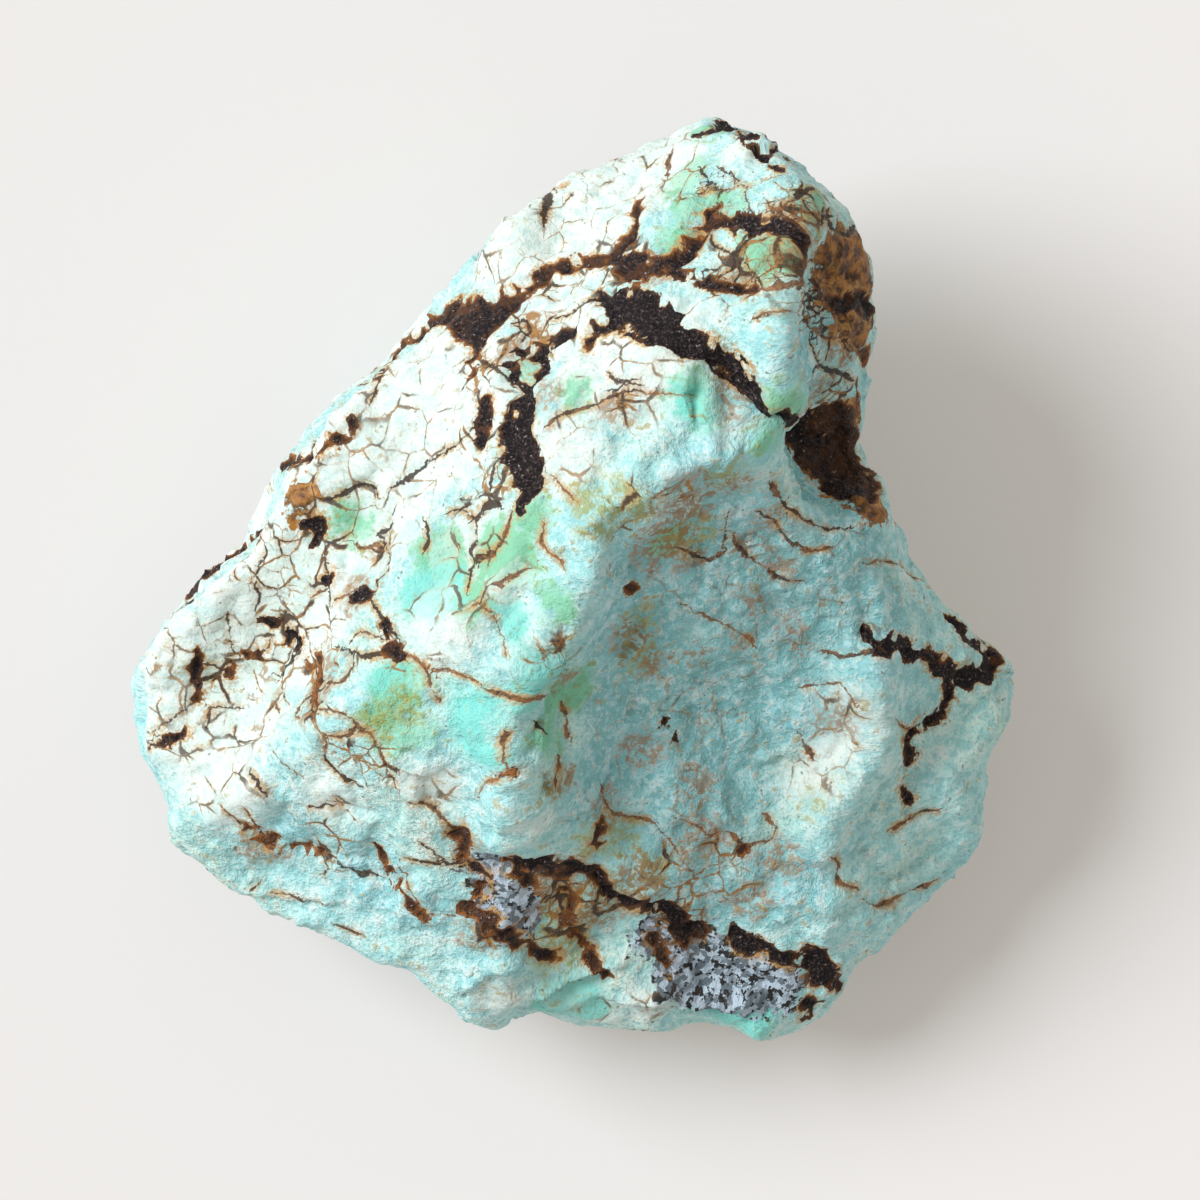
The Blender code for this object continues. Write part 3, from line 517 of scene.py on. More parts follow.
def laid_stroke(tree, points):
    """A stroke's places on the stone, closely spaced, with the width at each."""
    rows = np.array(points, float)
    rows = np.vstack([rows[:1], rows, rows[-1:]])
    places = []
    widths = []
    for k in range(1, len(rows) - 2):
        length = np.linalg.norm(rows[k + 1, :2] - rows[k, :2]) * PIXEL
        steps = max(2, int(length / STROKE_STEP))
        for i in range(steps):
            x, y, width = between(rows[k - 1], rows[k], rows[k + 1], rows[k + 2], i / steps)
            places.append(on_stone(tree, x, y))
            widths.append(width)
    places.append(on_stone(tree, rows[-1, 0], rows[-1, 1]))
    widths.append(rows[-1, 2])
    return np.array(places), np.array(widths)


def stroke_fields(tree, spots, normals, strokes):
    """For each spot of the skin, how it lies to the nearest stroke: the gap to its edge, the distance to
    its middle line with a sign for the side, its half width there (all in mm), and its tone."""
    gap = np.full(len(spots), REACH)
    side = np.full(len(spots), REACH)
    half_width = np.full(len(spots), THINNEST)
    tone = np.full(len(spots), 0.5)
    for stroke_tone, points in strokes:
        places, widths = laid_stroke(tree, points)
        low = places.min(axis=0) - REACH
        high = places.max(axis=0) + REACH
        near = np.flatnonzero(((spots > low) & (spots < high)).all(axis=1))
        for k in range(len(places) - 1):
            along = places[k + 1] - places[k]
            length = along @ along
            if length == 0.0 or len(near) == 0:
                continue
            away = spots[near] - places[k]
            t = np.clip(away @ along / length, 0.0, 1.0)
            distance = np.linalg.norm(away - t[:, None] * along, axis=1)
            half = (widths[k] + t * (widths[k + 1] - widths[k])) / 2
            closer = distance - half < gap[near]
            chosen = near[closer]
            gap[chosen] = (distance - half)[closer]
            hand = np.sign((np.cross(along, normals[chosen]) * away[closer]).sum(axis=1))
            side[chosen] = distance[closer] * hand
            half_width[chosen] = half[closer]
            tone[chosen] = stroke_tone
    return gap, side, half_width, tone


def zone_field(tree, spots, circles):
    """How deep each spot of the skin lies in a zone: above 0 inside, mm."""
    depth = np.full(len(spots), -REACH)
    for x, y, radius in circles:
        depth = np.maximum(depth, radius - np.linalg.norm(spots - on_stone(tree, x, y), axis=1))
    return depth


def lump_field(tree, spots):
    """How far the skin stands out for the lumps and hollows, mm."""
    height = np.zeros(len(spots))
    for x, y, radius, rise in LUMPS:
        distance = np.linalg.norm(spots - on_stone(tree, x, y), axis=1)
        height += rise * np.clip(1 - (distance / radius) ** 2, 0.0, 1.0) ** 2
    return height


def fold_field(tree, spots, normals):
    """How far the skin stands out for the folds, mm."""
    height = np.zeros(len(spots))
    for kind, rise, reach, points in FOLDS:
        line = (0.0, [(x, y, 2 * THINNEST) for x, y in points])
        gap, side, _, _ = stroke_fields(tree, spots, normals, [line])
        share = np.clip(1 - np.maximum(gap, 0.0) / reach, 0.0, 1.0)
        if kind == "step":
            share = share * (side < 0)
        height += rise * share
    return height


def sole_field(spots, normals):
    """1 on the flat sole, and 0 from a little above it."""
    return np.clip(1.2 - spots[:, 2] / SOLE_MARGIN, 0, 1) * (normals[:, 2] < FACING_DOWN)


def seen_by_camera(tree, spots):
    """1 for spots that the photograph shows, 0 for those behind or below."""
    shown = np.zeros(len(spots))
    for k, spot in enumerate(spots):
        hit = tree.ray_cast(EYE, Vector(spot) - EYE)[0]
        if hit is not None and (hit - Vector(spot)).length < SIGHT_SLACK:
            shown[k] = 1.0
    return shown


def spread(mesh, values, passes):
    """Values blurred along the mesh's edges."""
    edges = np.empty(len(mesh.edges) * 2, np.int32)
    mesh.edges.foreach_get("vertices", edges)
    first, second = edges.reshape(-1, 2).T
    count = np.bincount(edges, minlength=len(values))
    for _ in range(passes):
        total = np.bincount(first, values[second], len(values))
        total += np.bincount(second, values[first], len(values))
        values = 0.5 * values + 0.5 * total / count
    return values


def write_field(mesh, name, values):
    """Keeps a value for each vertex on the mesh, where the nodes can read it."""
    layer = mesh.attributes.new(name, "FLOAT", "POINT")
    layer.data.foreach_set("value", np.asarray(values, np.float32))


def vertex_table(mesh, what):
    """The vertices' places or normals as rows of three."""
    table = np.empty(len(mesh.vertices) * 3, np.float32)
    if what == "co":
        mesh.vertices.foreach_get("co", table)
    else:
        mesh.vertex_normals.foreach_get("vector", table)
    return table.reshape(-1, 3).astype(float)


# ============================================================ node helpers ====

MIDDLE = (0.5, 0.5, 0.5)        # the average of a noise's or a cell's colour
Cells = namedtuple("Cells", "distance shade middle")


class Value:
    """What a node gives out. Values add, subtract and multiply as numbers do, by way of more nodes."""

    def __init__(self, graph, socket):
        self.graph = graph
        self.socket = socket

    def __add__(self, other):
        return self.graph.math("ADD", self, other)

    def __sub__(self, other):
        return self.graph.math("SUBTRACT", self, other)

    def __mul__(self, other):
        return self.graph.math("MULTIPLY", self, other)

    def swing(self, amount):
        """Noise, which is about 0.5, turned into a number that swings about 0."""
        return self.graph.math("MULTIPLY_ADD", self, amount, -amount / 2)

    def ramp(self, start, end, low=0.0, high=1.0):
        """low where the value is start, high where it is end, smooth between."""
        return self.graph.worked("ShaderNodeMapRange", (self, start, end, low, high),
                                 interpolation_type="SMOOTHSTEP")


def most(*values):
    """The largest of the values."""
    return reduce(lambda one, other: one.graph.math("MAXIMUM", one, other), values)


def least(one, other):
    """The smaller of two values."""
    return one.graph.math("MINIMUM", one, other)


class Graph:
    """Short ways to add nodes to a shader tree or a geometry tree: both know the same textures. The
    functions below call the graph that they add to g."""

    def __init__(self, tree):
        self.tree = tree

    def node(self, kind, **settings):
        """A new node, with its settings."""
        made = self.tree.nodes.new(kind)
        for name, value in settings.items():
            setattr(made, name, value)
        return made

    def feed(self, socket, value):
        """Links a socket, or sets its own value."""
        if isinstance(value, Value):
            self.tree.links.new(value.socket, socket)
        elif socket.type == "RGBA":
            socket.default_value = (*value, 1.0)
        else:
            socket.default_value = value

    def worked(self, kind, values, output=0, **settings):
        """What a new node makes of the values at its first inputs."""
        made = self.node(kind, **settings)
        for socket, value in zip(made.inputs, values):
            self.feed(socket, value)
        return Value(self, made.outputs[output])

    def math(self, operation, *values):
        return self.worked("ShaderNodeMath", values, operation=operation)

    def vector(self, operation, *values):
        return self.worked("ShaderNodeVectorMath", values, operation=operation)

    def dot(self, *values):
        """How far the first vector reaches along the second."""
        return self.worked("ShaderNodeVectorMath", values, "Value", operation="DOT_PRODUCT")

    def scaled(self, vector, factor):
        made = self.node("ShaderNodeVectorMath", operation="SCALE")
        self.feed(made.inputs[0], vector)
        self.feed(made.inputs["Scale"], factor)
        return Value(self, made.outputs[0])

    def mix(self, factor, first, second):
        """The first colour where the factor is 0, the second where it is 1."""
        made = self.node("ShaderNodeMix", data_type="RGBA")
        for socket, value in zip((made.inputs[0], made.inputs[6], made.inputs[7]), (factor, first, second)):
            self.feed(socket, value)
        return Value(self, made.outputs[2])

    def noise(self, place, grain, detail=2.0, roughness=0.5, output="Fac"):
        """Soft noise with lumps of about one grain, in mm; about 0.5 on average."""
        made = self.node("ShaderNodeTexNoise")
        self.feed(made.inputs["Vector"], place)
        self.feed(made.inputs["Scale"], 1.0 / grain)
        self.feed(made.inputs["Detail"], detail)
        self.feed(made.inputs["Roughness"], roughness)
        return Value(self, made.outputs[output])

    def cell_node(self, place, grain, feature):
        made = self.node("ShaderNodeTexVoronoi", feature=feature)
        self.feed(made.inputs["Vector"], place)
        self.feed(made.inputs["Scale"], 1.0 / grain)
        return made

    def cells(self, place, grain):
        """Cells of about one grain, in mm: the distance to the middle in grains, their shade and middle."""
        outputs = self.cell_node(place, grain, "F1").outputs
        return Cells(*(Value(self, outputs[name]) for name in ("Distance", "Color", "Position")))

    def edge_of_cells(self, place, grain):
        """Distance to the nearest border between cells, mm."""
        return Value(self, self.cell_node(place, grain, "DISTANCE_TO_EDGE").outputs["Distance"]) * grain

    def warped(self, place, grain, amount):
        """The place, pushed about by noise."""
        push = self.vector("SUBTRACT", self.noise(place, grain, output="Color"), MIDDLE)
        return self.vector("ADD", place, self.scaled(push, amount))

    def field(self, name, output="Fac"):
        """A value that the skin carries."""
        if self.tree.type == "SHADER":
            return Value(self, self.node("ShaderNodeAttribute", attribute_name=name).outputs[output])
        made = self.node("GeometryNodeInputNamedAttribute", data_type="FLOAT")
        made.inputs["Name"].default_value = name
        return Value(self, made.outputs[0])


# ==================================================================== skin ====

BEND = (1.8, 1.1)               # bends that the chips and nets follow: their size and how far they push, mm
WOBBLE = (0.35, 0.12)           # the nets' finer wobble, likewise
SOFT_GRAIN = 0.7                # size of the soft noise's lumps, mm
PATCH_GRAIN = 1.5               # and of the patchy noise's
BROAD_GRAIN = 4.2               # and of the broad noise's
PEBBLE = 1.25                   # size of the pebbly cells between the nets' lines, mm
CRUMB = 0.62                    # size of the smallest cells between lines, mm
HIDDEN_CELL = 8.0               # spacing of the veins that the photograph doesn't show, mm
HIDDEN_BEND = (5.0, 5.0)        # their bends: size and how far they push, mm
HIDDEN_WIDTH = 0.7              # half width of the widest of them, mm
SWELL_HEIGHT = 0.30             # of the broad swells, mm
RUBBLE_HEIGHT = 0.28            # of rubble about 1 mm across, mm ...
DUSTY_RUBBLE = 0.17             # ... and this much more on the dusty slope
CHIPS = ((2.8, 0.13), (1.2, 0.16))       # small flat faces: their size in mm and how steeply they tilt
CRUST_HEIGHT = 0.14             # of the rough crust, mm ...
DUSTY_CRUST = 0.12              # ... and this much more on the dusty slope
PIT_SIZE = 1.3                  # spacing of the pits, mm
PIT_DEPTH = 0.16                # mm
NET_BULGE = 0.03                # how far cells stand out of a fine net, mm
HEAVY_BULGE = 0.07              # and out of a heavy one
CRUMB_BULGE = 0.06              # and the crumbs, out of their matrix
VEIN_DEPTH = 0.15               # how low the broad veins lie, mm
LINE_DEPTH = 0.05               # and the thin ones


def ragged_place(g, bent):
    """The bent place with a fine wobble, which the skin and the material both use for the nets."""
    return g.warped(bent, *WOBBLE)


def vein_fields(g, place, soft, unseen):
    """Veins: those of the strokes, and on the sides that the photograph hides, borders of large cells."""
    painted = g.field("broad_gap") + g.noise(place, 0.6).swing(0.5) - 0.06
    far = g.warped(place, *HIDDEN_BEND)
    width = g.noise(place, 3.5, 1.0).ramp(0.40, 0.72) * HIDDEN_WIDTH
    hidden = g.edge_of_cells(far, HIDDEN_CELL) - width
    hidden = hidden + soft.swing(0.5) + unseen.ramp(0.75, 0.25, 0.0, 3.0)
    strong = g.field("thin_tone").ramp(0.2, 0.6, 0.0, 0.10)
    return {"gap": least(painted, hidden),
            "tone": g.field("broad_tone") + g.noise(place, 0.9, 3.0).swing(1.2),
            "line_tone": g.field("thin_tone") + soft.swing(0.9),
            "unbroken": (g.noise(place, 0.55, 3.0) + strong).ramp(0.40, 0.52, 0.30, 1.0)}


def colour_fields(g, bent, soft, patchy, broad):
    """Where the stone is minty, white or freckled, and how deep each spot lies in the ragged zones. The
    white is partly painted light on the lit faces.
    """
    whiteness_and_painted_light = (g.field("pale_and_painted_light") + patchy.swing(1.4)).ramp(-1.2, 0.7)
    fields = {"mint": broad.ramp(0.36, 0.66),
              "whiteness_and_painted_light": most(whiteness_and_painted_light, g.noise(bent, 1.4, 4.0).ramp(0.5, 0.8, 0.0, 0.85)),
              "soft": soft,
              "freckled": patchy.ramp(0.46, 0.62)}
    for name, wander in (("green", 1.8), ("teal", 2.0), ("slate", 2.0)):
        fields[name + "_depth"] = g.field(name) + patchy.swing(wander) + soft.swing(1.2)
    for name, wander in (("olive", 1.3), ("rust", 1.8), ("amber", 2.6), ("quartz", 2.0)):
        fields[name + "_depth"] = g.field(name) + soft.swing(wander)
    return fields


def skin_fields(g):
    """Everything that the skin's nodes work out from its place and from the strokes and zones near it."""
    place = g.worked("GeometryNodeInputPosition", ())
    bent = g.warped(place, *BEND)
    ragged = ragged_place(g, bent)
    soft = g.noise(place, SOFT_GRAIN, 3.0, 0.6)
    patchy = g.noise(place, PATCH_GRAIN)
    broad = g.noise(place, BROAD_GRAIN, 3.0)
    unseen = g.field("unseen")
    fields = {"place": place, "bent": bent}
    fields.update(vein_fields(g, place, soft, unseen))
    fields.update(colour_fields(g, bent, soft, patchy, broad))

    # nets: fine ones, heavy ones with brown matrix, and crumbs
    hidden_nets = unseen.ramp(0.3, 0.8) * broad.ramp(0.46, 0.6)
    slate_nets = (g.field("slate") + patchy.swing(3.0)).ramp(0.0, 1.2) * 0.4
    pale_nets = (g.field("pale_and_painted_light") + patchy.swing(1.5)).ramp(-0.8, 0.5) * 0.55
    fine = most((g.field("netted") + patchy.swing(1.6)).ramp(-0.6, 0.5), slate_nets, pale_nets, hidden_nets)
    heavy = (g.field("heavy") + patchy.swing(1.2)).ramp(-0.3, 0.3)
    heavy = most(heavy, hidden_nets * broad.ramp(0.6, 0.7))
    crumbly = (g.field("crumbly") + patchy.swing(0.9)).ramp(-0.3, 0.25)
    near_line = least(g.field("thin_gap"), fields["gap"]).ramp(0.55, 0.1)
    fade = g.noise(place, 0.9).ramp(0.36, 0.56)
    other_fade = g.noise(bent, 0.8).ramp(0.42, 0.56)
    pebbles = g.cells(ragged, PEBBLE)
    width = patchy.ramp(0.42, 0.66, 0.014, 0.044) + near_line * 0.02
    fields["net"] = most(fine * fade, heavy, near_line * fade * 0.25)
    fields["netted"] = most(fine, heavy)
    fields["net_width"] = width + heavy * soft.ramp(0.35, 0.65, 0.01, 0.08)
    fields["net_tone"] = (g.noise(place, 1.1, 3.0) + heavy * -0.04 + near_line * 0.03
                          + g.field("slate").ramp(-1.0, 0.5, 0.0, -0.10))
    fields["pebble_rim"] = pebbles.distance + heavy * 0.4 - 0.5
    fields["pebble_tint"] = pebbles.shade
    fields["crumbs"] = most(crumbly, heavy * 0.7, other_fade * fine * 0.5)
    fields["crumb_width"] = soft.ramp(0.35, 0.65, 0.004, 0.026) + crumbly * 0.012
    return fields, ragged, heavy, crumbly


def relief_height(g, fields, ragged, heavy, crumbly):
    """How far the skin stands out, mm: swells, rubble, chips, crust, pits, pebbles, veins and folds."""
    place = fields["place"]
    bent = fields["bent"]
    dust_and_shade = fields["slate_depth"].ramp(-1.0, 0.5)
    height = g.noise(place, 3.0).swing(SWELL_HEIGHT)
    height = height + g.noise(bent, 1.0, 3.0, 0.55).swing(1.0) * (dust_and_shade * DUSTY_RUBBLE + RUBBLE_HEIGHT)
    for size, steepness in CHIPS:
        chips = g.cells(bent, size)
        tilt = g.scaled(g.vector("SUBTRACT", chips.shade, MIDDLE), steepness)
        height = height + g.dot(tilt, g.vector("SUBTRACT", bent, chips.middle))
    height = height + g.noise(place, 0.42).swing(1.0) * (dust_and_shade * DUSTY_CRUST + CRUST_HEIGHT)
    pits = g.cells(place, PIT_SIZE)
    height = height - pits.distance.ramp(0.34, 0.10) * pits.shade.ramp(0.54, 0.66) * PIT_DEPTH
    # cells stand out between the lines of the nets
    bulge = g.edge_of_cells(ragged, PEBBLE).ramp(0.0, 0.25)
    height = height + bulge * fields["netted"] * NET_BULGE + bulge * heavy * HEAVY_BULGE
    bulge = g.edge_of_cells(ragged, CRUMB).ramp(0.0, 0.15)
    height = height + bulge * crumbly * CRUMB_BULGE
    # veins lie lower and are grainy
    sunk = fields["gap"].ramp(0.12, -0.22)
    height = height + sunk * (g.noise(place, 0.26, 1.0).swing(0.2) - VEIN_DEPTH)
    height = height - g.field("thin_gap").ramp(0.12, -0.02) * LINE_DEPTH
    height = height + g.field("lumps")
    # the flat sole keeps its place
    return height * g.field("sole").ramp(0.5, 1.0, 1.0, 0.12)


def relief_modifier(stone):
    """Works out the skin's fields, keeps them for the material, and moves the skin along its normals."""
    tree = bpy.data.node_groups.new("stone_relief", "GeometryNodeTree")
    for way in ("INPUT", "OUTPUT"):
        tree.interface.new_socket("Geometry", in_out=way, socket_type="NodeSocketGeometry")
    g = Graph(tree)
    fields, ragged, heavy, crumbly = skin_fields(g)
    height = relief_height(g, fields, ragged, heavy, crumbly)
    geometry = g.worked("NodeGroupInput", ())
    for name, value in fields.items():
        kind = "FLOAT_VECTOR" if name in ("place", "bent") else "FLOAT"
        keep = g.node("GeometryNodeStoreNamedAttribute", data_type=kind)
        g.feed(keep.inputs["Geometry"], geometry)
        keep.inputs["Name"].default_value = "stone_" + name
        g.feed([socket for socket in keep.inputs if socket.name == "Value" and socket.enabled][0], value)
        geometry = Value(g, keep.outputs[0])
    move = g.node("GeometryNodeSetPosition")
    g.feed(move.inputs["Geometry"], geometry)
    g.feed(move.inputs["Offset"], g.scaled(g.worked("GeometryNodeInputNormal", ()), height))
    g.feed(g.node("NodeGroupOutput").inputs[0], Value(g, move.outputs[0]))
    stone.modifiers.new("relief", "NODES").node_group = tree


def settle(stone):
    """Works the object's modifiers into its mesh."""
    bpy.context.view_layer.update()
    graph = bpy.context.evaluated_depsgraph_get()
    skin = bpy.data.meshes.new_from_object(stone.evaluated_get(graph))
    stone.modifiers.clear()
    stone.data = skin
    return skin


def write_fields(stone, skin):
    """Writes on the skin how each spot lies to the strokes, zones, lumps and folds."""
    spots = vertex_table(skin, "co")
    normals = vertex_table(skin, "normal")
    tree = BVHTree.FromObject(stone, bpy.context.evaluated_depsgraph_get())
    gap, _, _, tone = stroke_fields(tree, spots, normals, BROAD_VEINS)
    write_field(skin, "broad_gap", gap)
    write_field(skin, "broad_tone", spread(skin, tone, 3))
    gap, side, half_width, tone = stroke_fields(tree, spots, normals, THIN_VEINS)
    write_field(skin, "thin_gap", gap)
    write_field(skin, "thin_side", side)
    write_field(skin, "thin_half", half_width)
    write_field(skin, "thin_tone", tone)
    for name, circles in ZONES.items():
        write_field(skin, name, zone_field(tree, spots, circles))
    write_field(skin, "lumps", lump_field(tree, spots) + fold_field(tree, spots, normals))
    write_field(skin, "unseen", spread(skin, 1.0 - seen_by_camera(tree, spots), 10))
    write_field(skin, "sole", sole_field(spots, normals))


def make_stone():
    """The stone with its fine skin, in place of the plain solid."""
    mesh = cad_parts[STONE].data.copy()
    mesh.transform(Matrix.Scale(1.0 / MM, 4))
    stone = bpy.data.objects.new("turquoise_stone", mesh)
    bpy.context.scene.collection.objects.link(stone)
    remesh = stone.modifiers.new("even_skin", "REMESH")
    remesh.mode = "VOXEL"
    remesh.voxel_size = SKIN_STEP
    smooth = stone.modifiers.new("rounding", "SMOOTH")
    smooth.iterations = SKIN_ROUNDING
    smooth.factor = 0.5
    write_fields(stone, settle(stone))

    relief_modifier(stone)
    skin = settle(stone)
    spots = vertex_table(skin, "co")
    spots[:, 2] = np.maximum(spots[:, 2], 0.0)
    skin.vertices.foreach_set("co", spots.astype(np.float32).ravel())
    skin.transform(Matrix.Scale(MM, 4))
    skin.polygons.foreach_set("use_smooth", np.ones(len(skin.polygons), bool))
    skin.materials.clear()
    skin.materials.append(stone_material())
    skin.name = "turquoise_stone"
    return stone


# ================================================================ material ====

GRAIN = 0.21                    # size of the single grains of chalk and quartz, mm
ROUGH_GRAIN = 0.32              # size of the rough noise's lumps, mm
FINE_GRAIN = 0.11               # and of the fine noise's
GLOSS = (0.60, 0.84)            # roughness of the turquoise, from its smoothest grains to its roughest
VEIN_GLOSS = 0.14               # how much smoother than that the veins are, from 0 to 1 ...
QUARTZ_GLOSS = 0.20             # ... and the quartz
AMBER_GLOSS = 0.16              # ... and the amber limonite
REFRACTION = 1.5
STONE_SHINE = 0.35              # specular level of the stone
VEIN_SHINE = 0.14               # and of its veins

# The noises and cells that the material's functions share, and the ragged place of the nets.
Noises = namedtuple("Noises", "rough fine soft crumbs grains ragged")


def stain(g, name, noise, start, end):
    """How strongly a zone's colour shows, with a crisp, ragged edge."""
    return (g.field(f"stone_{name}_depth") + noise.rough.swing(1.6)).ramp(start, end)


def turquoise_colour(g, noise):
    """The stone between the veins: white to blue, mottled, with its stains. The white is partly chalky
    stone and partly painted light on the lit faces.
    """
    white_and_lit = g.field("stone_whiteness_and_painted_light")
    tint = g.field("stone_pebble_tint")
    colour = g.mix(g.field("stone_mint"), BLUE, MINT)
    # painted light, in part: the lit faces are mixed towards nearly white
    colour = g.mix(white_and_lit, colour, PALE_AND_PAINTED_LIGHT)
    colour = g.mix(tint.ramp(0.3, 0.7) * g.field("stone_netted") * 0.5, colour, PEBBLE_TINT)
    dust_and_shade = stain(g, "slate", noise, -1.0, 0.5)
    # painted shade, in part: the faces turned away from the light are mixed towards a greyer, darker blue
    colour = g.mix(dust_and_shade * 0.75, colour, SLATE_AND_SHADE)
    # on the dusty, shaded slope there are darker patches, placed by noise, and each grain has its own shade
    dark_patches = (noise.soft + noise.rough.swing(0.4)).ramp(0.52, 0.38, 0.0, 0.7) * dust_and_shade
    colour = g.mix(dark_patches, colour, SLATE_DARK)
    shade = noise.crumbs.shade * 0.35 + noise.grains.shade * 0.65
    dust_and_shade = dust_and_shade * 0.75 + 0.25
    colour = g.mix(shade.ramp(0.50, 0.64) * dust_and_shade * 0.5, colour, DUST_LIGHT)
    colour = g.mix(shade.ramp(0.48, 0.34) * dust_and_shade * 0.45, colour, SLATE_DARK)
    # patches, then grains, lighter and darker than the rest
    dark_amount = white_and_lit.ramp(0.3, 1.0, 1.0, 0.3)
    patches = noise.soft * 0.6 + noise.rough * 0.4
    grains = noise.rough * 0.4 + noise.fine * 0.6
    colour = g.mix(patches.ramp(0.50, 0.42, 0.0, 0.6) * dark_amount, colour, MOTTLE_DARK)
    colour = g.mix(patches.ramp(0.51, 0.61, 0.0, 0.4), colour, MOTTLE_LIGHT)
    colour = g.mix(grains.ramp(0.49, 0.40, 0.0, 0.55) * dark_amount, colour, MOTTLE_DARK)
    colour = g.mix(grains.ramp(0.52, 0.62, 0.0, 0.45), colour, MOTTLE_LIGHT)
    by_pebble = tint.ramp(0.35, 0.6, 0.6, 1.0)
    colour = g.mix(stain(g, "green", noise, -0.55, 0.05) * by_pebble * 0.95, colour, GREEN)
    colour = g.mix(stain(g, "teal", noise, -0.6, 0.1) * by_pebble * 0.85, colour, TEAL)
    # olive and rust stains: a faint tint, and single grains of it
    picked = (noise.grains.shade + noise.fine.swing(0.4)).ramp(0.52, 0.60, 0.0, 0.75)
    strength = most(grains.ramp(0.45, 0.58, 0.08, 0.6), picked)
    colour = g.mix(stain(g, "olive", noise, -0.55, 0.1) * strength, colour, OLIVE)
    colour = g.mix(stain(g, "rust", noise, -0.55, 0.1) * strength, colour, RUST_STAIN)
    # freckles, and a few dark specks, round and crisp
    colour = g.mix(noise.rough.ramp(0.57, 0.66) * g.field("stone_freckled") * 0.6, colour, FRECKLE)
    speck = (noise.grains.distance + noise.fine.swing(1.2)).ramp(0.26, 0.14)
    speck = speck * noise.grains.shade.ramp(0.66, 0.72)
    return g.mix(speck * noise.soft.ramp(0.50, 0.60) * 0.75, colour, SPECK)


def quartz_colour(g, noise):
    """Grey and white grains, with black ones between."""
    milky = (noise.grains.shade * 0.5 + noise.soft * 0.5).ramp(0.38, 0.54)
    black = (noise.rough + noise.grains.shade.swing(0.25)).ramp(0.545, 0.60)
    return g.mix(black, g.mix(milky, QUARTZ_DARK, QUARTZ_LIGHT), BLACK)


def amber_colour(g, noise):
    """Amber limonite, from nearly black to gold."""
    gold = noise.rough * 0.4 + noise.fine * 0.15 + noise.soft * 0.45
    return g.mix(gold.ramp(0.42, 0.60), AMBER_DARK, AMBER)


def with_haloes(g, noise, colour, gap, coarse_edge):
    """Warm haloes along veins and lines."""
    warm = (g.field("stone_net_tone") + noise.rough.swing(0.5)).ramp(0.40, 0.62, 0.1, 0.9)
    near_vein = (gap + noise.fine.swing(0.6)).ramp(0.24, 0.0)
    line_gap = g.field("thin_gap") + noise.rough.swing(0.5) + noise.fine.swing(0.4)
    near_line = line_gap.ramp(0.22, 0.0, 0.0, 0.9)
    near_net = (coarse_edge + noise.fine.swing(0.2)).ramp(0.15, 0.0) * g.field("stone_net") * 0.9
    return g.mix(most(near_vein, near_line, near_net) * warm, colour, HALO)


def with_nets(g, noise, colour, coarse_edge, crumb_middle):
    """The nets' lines between the pebbles and between the crumbs, thinner where the net is weak."""
    net = g.field("stone_net")
    crumbs = g.field("stone_crumbs")
    wobble = noise.rough.swing(0.07) + noise.fine.swing(0.07)
    net_gap = coarse_edge - g.field("stone_net_width") + wobble + net.ramp(0.0, 0.6, 0.02, 0.0)
    joint = g.field("stone_pebble_rim") + noise.rough.swing(-0.5)
    net_gap = least(net_gap, joint.ramp(0.60, 0.86, 0.10, -0.14))
    crumb_gap = g.edge_of_cells(noise.ragged, CRUMB) - g.field("stone_crumb_width")
    crumb_gap = crumb_gap + wobble + crumbs.ramp(0.0, 0.6, 0.015, 0.0)
    lines = net_gap.ramp(0.022, -0.012) * net.ramp(0.05, 0.7)
    joints = crumb_middle.ramp(0.65, 0.73) * crumbs.ramp(0.55, 0.75)
    crumb_lines = crumb_gap.ramp(0.018, -0.012) * crumbs.ramp(0.05, 0.7)
    dark = g.field("stone_net_tone") + noise.fine.swing(0.4) - net_gap * 1.2
    net_colour = g.mix(dark.ramp(0.42, 0.57), NET_RUST, NET_DARK)
    return g.mix(most(lines, crumb_lines, joints) * 0.92, colour, net_colour)


def with_thin_veins(g, noise, colour):
    """The thin strokes, wavering and uneven."""
    side = g.math("ABSOLUTE", g.field("thin_side") + noise.rough.swing(0.35))
    grainy = noise.fine.swing(0.14) - g.field("thin_half") * g.field("stone_unbroken")
    thin = (side + grainy).ramp(0.025, -0.025) * g.field("thin_gap").ramp(0.26, 0.12)
    tone = (g.field("stone_line_tone") + noise.fine.swing(0.8)).ramp(0.08, 0.52)
    return g.mix(thin * 0.93, colour, g.mix(tone, RUSTY, DARK_LINE))


def broad_vein(g, noise, gap):
    """Where the broad veins are, and their colour: a rusty edge, then brown, then black with sparks."""
    solid = g.field("broad_tone").ramp(0.2, 0.6, 0.0, 0.2) + gap.ramp(0.0, -0.25, 0.0, 0.2)
    grainy = noise.fine * 0.5 + noise.rough * 0.5 + solid
    vein = gap.ramp(0.02, -0.02) * grainy.ramp(0.48, 0.56, 0.25, 1.0)
    tone = g.field("stone_tone") + noise.rough.swing(0.9) + gap.ramp(0.0, -0.24, -0.48, 0.10)
    colour = g.mix(tone.ramp(0.05, 0.45), VEIN_RUST, VEIN_BROWN)
    colour = g.mix(tone.ramp(0.45, 0.80), colour, VEIN_BLACK)
    colour = g.mix(noise.fine.ramp(0.50, 0.64, 0.0, 0.75), colour, VEIN_GRAIN)
    return vein, g.mix(noise.fine.ramp(0.69, 0.74, 0.0, 0.6), colour, VEIN_SPARK)


